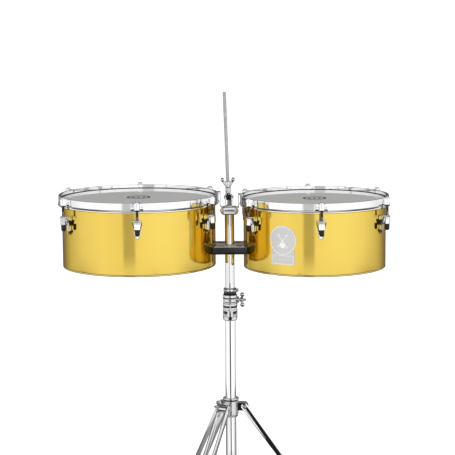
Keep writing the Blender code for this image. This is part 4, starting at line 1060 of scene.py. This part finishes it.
STRAP, HARDWARE, LEG_BLOCK, FOOT, BRACE = leg_strap_mesh(), leg_hardware_mesh(), leg_block_mesh(), foot_mesh(), brace_mesh()
for i in range(3):
    turn = AT_POST @ Matrix.Rotation(2 * PI * i / 3, 4, "Z")
    n = i + 1
    place(f"leg_{n}_straps", STRAP, CHROME, f"leg_{n}", turn, (f"leg_{n}",))
    place(f"leg_{n}_rivets", HARDWARE, ZINC, f"leg_{n}", turn, (f"leg_{n}",))
    place(f"leg_{n}_end_block", LEG_BLOCK, ZINC, f"leg_{n}", turn, (f"leg_{n}",))
    place(f"leg_{n}_rubber_foot", FOOT, RUBBER, f"leg_{n}", turn, (f"foot_{n}",))
    place(f"brace_{n}_bars", BRACE, CHROME, f"brace_{n}", turn, (f"brace_{n}",))


# ----------------------------------------------------------------------------
# Studio: floor, camera, light
# ----------------------------------------------------------------------------
def plain_material(name, colour, rough, emission=0.0):
    n = Nodes(name)
    n.set(Roughness=rough, Specular_IOR_Level=0.2)
    n.link(n.ramp(n.noise(2.0, 2.0), [(0.3, colour), (0.7, tuple(c * 0.995 for c in colour))]), "Base Color")
    if emission > 0:
        n.set(Emission_Color=(1.0, 1.0, 1.0), Emission_Strength=emission)
    return n.material


floor_mesh = bpy.data.meshes.new("floor")
floor_mesh.from_pydata([(-6.0, -6.0, 0), (6.0, -6.0, 0), (12.0, 40.0, 0), (-12.0, 40.0, 0)], [], [(0, 1, 2, 3)])
floor = bpy.data.objects.new("floor", floor_mesh)
bpy.context.scene.collection.objects.link(floor)
floor_mesh.materials.append(plain_material("pale_floor", (0.92, 0.92, 0.92), 0.9, 0.30))
floor.visible_glossy = False

card_mesh = bpy.data.meshes.new("dark_card")
card_mesh.from_pydata([(-0.095, -0.6, -0.25), (0.120, -0.6, -0.25), (0.120, -0.6, 0.652), (-0.095, -0.6, 0.652)], [], [(0, 1, 2, 3)])
card = bpy.data.objects.new("dark_card", card_mesh)
bpy.context.scene.collection.objects.link(card)
card_mesh.materials.append(plain_material("card_cloth", (0.012, 0.012, 0.012), 0.9))
card.visible_camera = card.visible_shadow = card.visible_diffuse = False

world = bpy.data.worlds.new("studio")
bpy.context.scene.world = world
world.use_nodes = True
tree = world.node_tree
tree.nodes.clear()


def world_math(operation, a, b=None):
    node = tree.nodes.new("ShaderNodeMath")
    node.operation = operation
    for k, value in enumerate((a, b)):
        if value is None:
            continue
        if isinstance(value, (int, float)):
            node.inputs[k].default_value = value
        else:
            tree.links.new(value, node.inputs[k])
    return node.outputs[0]


def world_range(value, a, b, c, d_):
    node = tree.nodes.new("ShaderNodeMapRange")
    node.interpolation_type = "SMOOTHSTEP"
    for key, number in (("From Min", a), ("From Max", b), ("To Min", c), ("To Max", d_)):
        node.inputs[key].default_value = number
    tree.links.new(value, node.inputs["Value"])
    return node.outputs["Result"]


def world_ramp(value, low, high, stops):
    """Colours by angle in degrees; strengths are divided by four in the ramp and multiplied by four by the background's
    strength.
    """
    node = tree.nodes.new("ShaderNodeValToRGB")
    elements = node.color_ramp.elements
    while len(elements) < len(stops):
        elements.new(0.5)
    for element, (angle, colour) in zip(elements, stops):
        element.position = (angle - low) / (high - low)
        colour = colour if isinstance(colour, tuple) else (colour, colour, colour)
        element.color = (*[min(1.0, c / 4.0) for c in colour], 1.0)
    tree.links.new(world_range_linear(value, low, high), node.inputs["Fac"])
    return node.outputs["Color"]


def world_range_linear(value, low, high):
    node = tree.nodes.new("ShaderNodeMapRange")
    node.inputs["From Min"].default_value = low
    node.inputs["From Max"].default_value = high
    tree.links.new(value, node.inputs["Value"])
    return node.outputs["Result"]


def world_mix(factor, a, b):
    node = tree.nodes.new("ShaderNodeMix")
    node.data_type = "RGBA"
    sockets = {"f": node.inputs[0], "a": node.inputs[6], "b": node.inputs[7]}
    for key, value in (("f", factor), ("a", a), ("b", b)):
        if isinstance(value, tuple):
            sockets[key].default_value = (*value, 1.0)
        elif isinstance(value, (int, float)):
            sockets[key].default_value = value
        else:
            tree.links.new(value, sockets[key])
    return node.outputs[2]


coords = tree.nodes.new("ShaderNodeTexCoord")
split = tree.nodes.new("ShaderNodeSeparateXYZ")
tree.links.new(coords.outputs["Generated"], split.inputs["Vector"])
x, y, z = split.outputs
turn_angle = world_math("MULTIPLY", world_math("ARCTAN2", x, world_math("MULTIPLY", y, -1.0)), 180 / PI)     # 0 towards the player
rise = world_math("MULTIPLY", world_math("ARCSINE", z), 180 / PI)
band = world_ramp(turn_angle, -180, 180, [
    (-180, 0.24), (-170, 0.22), (-155, 0.28), (-140, 0.52), (-125, 0.82), (-107, 1.00), (-92, 1.14), (-78, 1.22), (-50, 1.30), (-30, 1.26), (-22.0, 1.24),
    (-19.0, 0.66), (-4.5, 0.68), (-1.5, (1.26, 1.27, 1.29)), (12, (1.30, 1.33, 1.38)), (30, (1.34, 1.38, 1.44)), (50, (1.32, 1.36, 1.44)), (66, (1.28, 1.31, 1.36)), (80, 1.24),
    (92, 1.12), (107, 0.98), (125, 0.78), (140, 0.50), (155, 0.28), (170, 0.22), (180, 0.24),
])
tube_band = world_ramp(turn_angle, -180, 180, [
    (-180, 0.10), (-130, 0.20), (-95, 0.45), (-75, 0.90), (-55, 1.25), (55, 1.25), (75, 0.90), (95, 0.45), (130, 0.20), (180, 0.10),
])
level = world_mix(world_range(rise, -12.2, -11.3, 0.0, 1.0), tube_band, band)
front_low = world_mix(world_range(rise, -52, -42, 1.0, 0.0), (0.012, 0.012, 0.0125), (0.15, 0.15, 0.15))
low_part = world_mix(world_range(rise, -22.0, -18.0, 0.0, 1.0), front_low, level)
front_high = world_mix(world_range(rise, 52, 64, 0.0, 1.0), (0.016, 0.016, 0.0165), (0.22, 0.22, 0.22))
studio_colour = world_mix(world_range(rise, 20, 27, 0.0, 1.0), low_part, front_high)
light_path = tree.nodes.new("ShaderNodeLightPath")
lit = tree.nodes.new("ShaderNodeBackground")
tree.links.new(studio_colour, lit.inputs["Color"])
lit.inputs["Strength"].default_value = 4.0
plain = tree.nodes.new("ShaderNodeBackground")
plain.inputs["Color"].default_value = (1.0, 1.0, 1.0, 1.0)
plain.inputs["Strength"].default_value = 1.0
mix = tree.nodes.new("ShaderNodeMixShader")
tree.links.new(light_path.outputs["Is Glossy Ray"], mix.inputs[0])
tree.links.new(plain.outputs[0], mix.inputs[1])
tree.links.new(lit.outputs[0], mix.inputs[2])
out = tree.nodes.new("ShaderNodeOutputWorld")
tree.links.new(mix.outputs[0], out.inputs["Surface"])


def area(name, position, target, size, power):
    data = bpy.data.lights.new(name, "AREA")
    data.shape = "RECTANGLE"
    data.size, data.size_y = size
    data.energy = power
    obj = bpy.data.objects.new(name, data)
    bpy.context.scene.collection.objects.link(obj)
    obj.location = position
    obj.rotation_euler = (Vector(target) - Vector(position)).to_track_quat("-Z", "Y").to_euler()
    obj.visible_camera = False
    obj.visible_glossy = False
    return obj


area("key_left", (-2.4, -2.6, 2.9), (0, 0, 0.8), (1.6, 1.6), 26)
area("top_soft", (0.3, 0.4, 3.2), (0, 0, 0.6), (2.2, 2.2), 22)

camera_data = bpy.data.cameras.new("camera")
camera_data.sensor_width = 36.0
camera_data.lens = 36.0 * 1581.24 / 455.0
camera = bpy.data.objects.new("camera", camera_data)
bpy.context.scene.collection.objects.link(camera)
camera.matrix_world = (Matrix.Translation((POST.x - 0.0047, -3.6345, DRUMS["left"]["centre"].z + 0.6026))
                       @ Matrix.Rotation(math.radians(90.0 - 8.107), 4, "X") @ Matrix.Rotation(-0.0080, 4, "Z"))
bpy.context.scene.camera = camera
scene = bpy.context.scene
scene.view_settings.view_transform = "Standard"
scene.view_settings.look = "None"
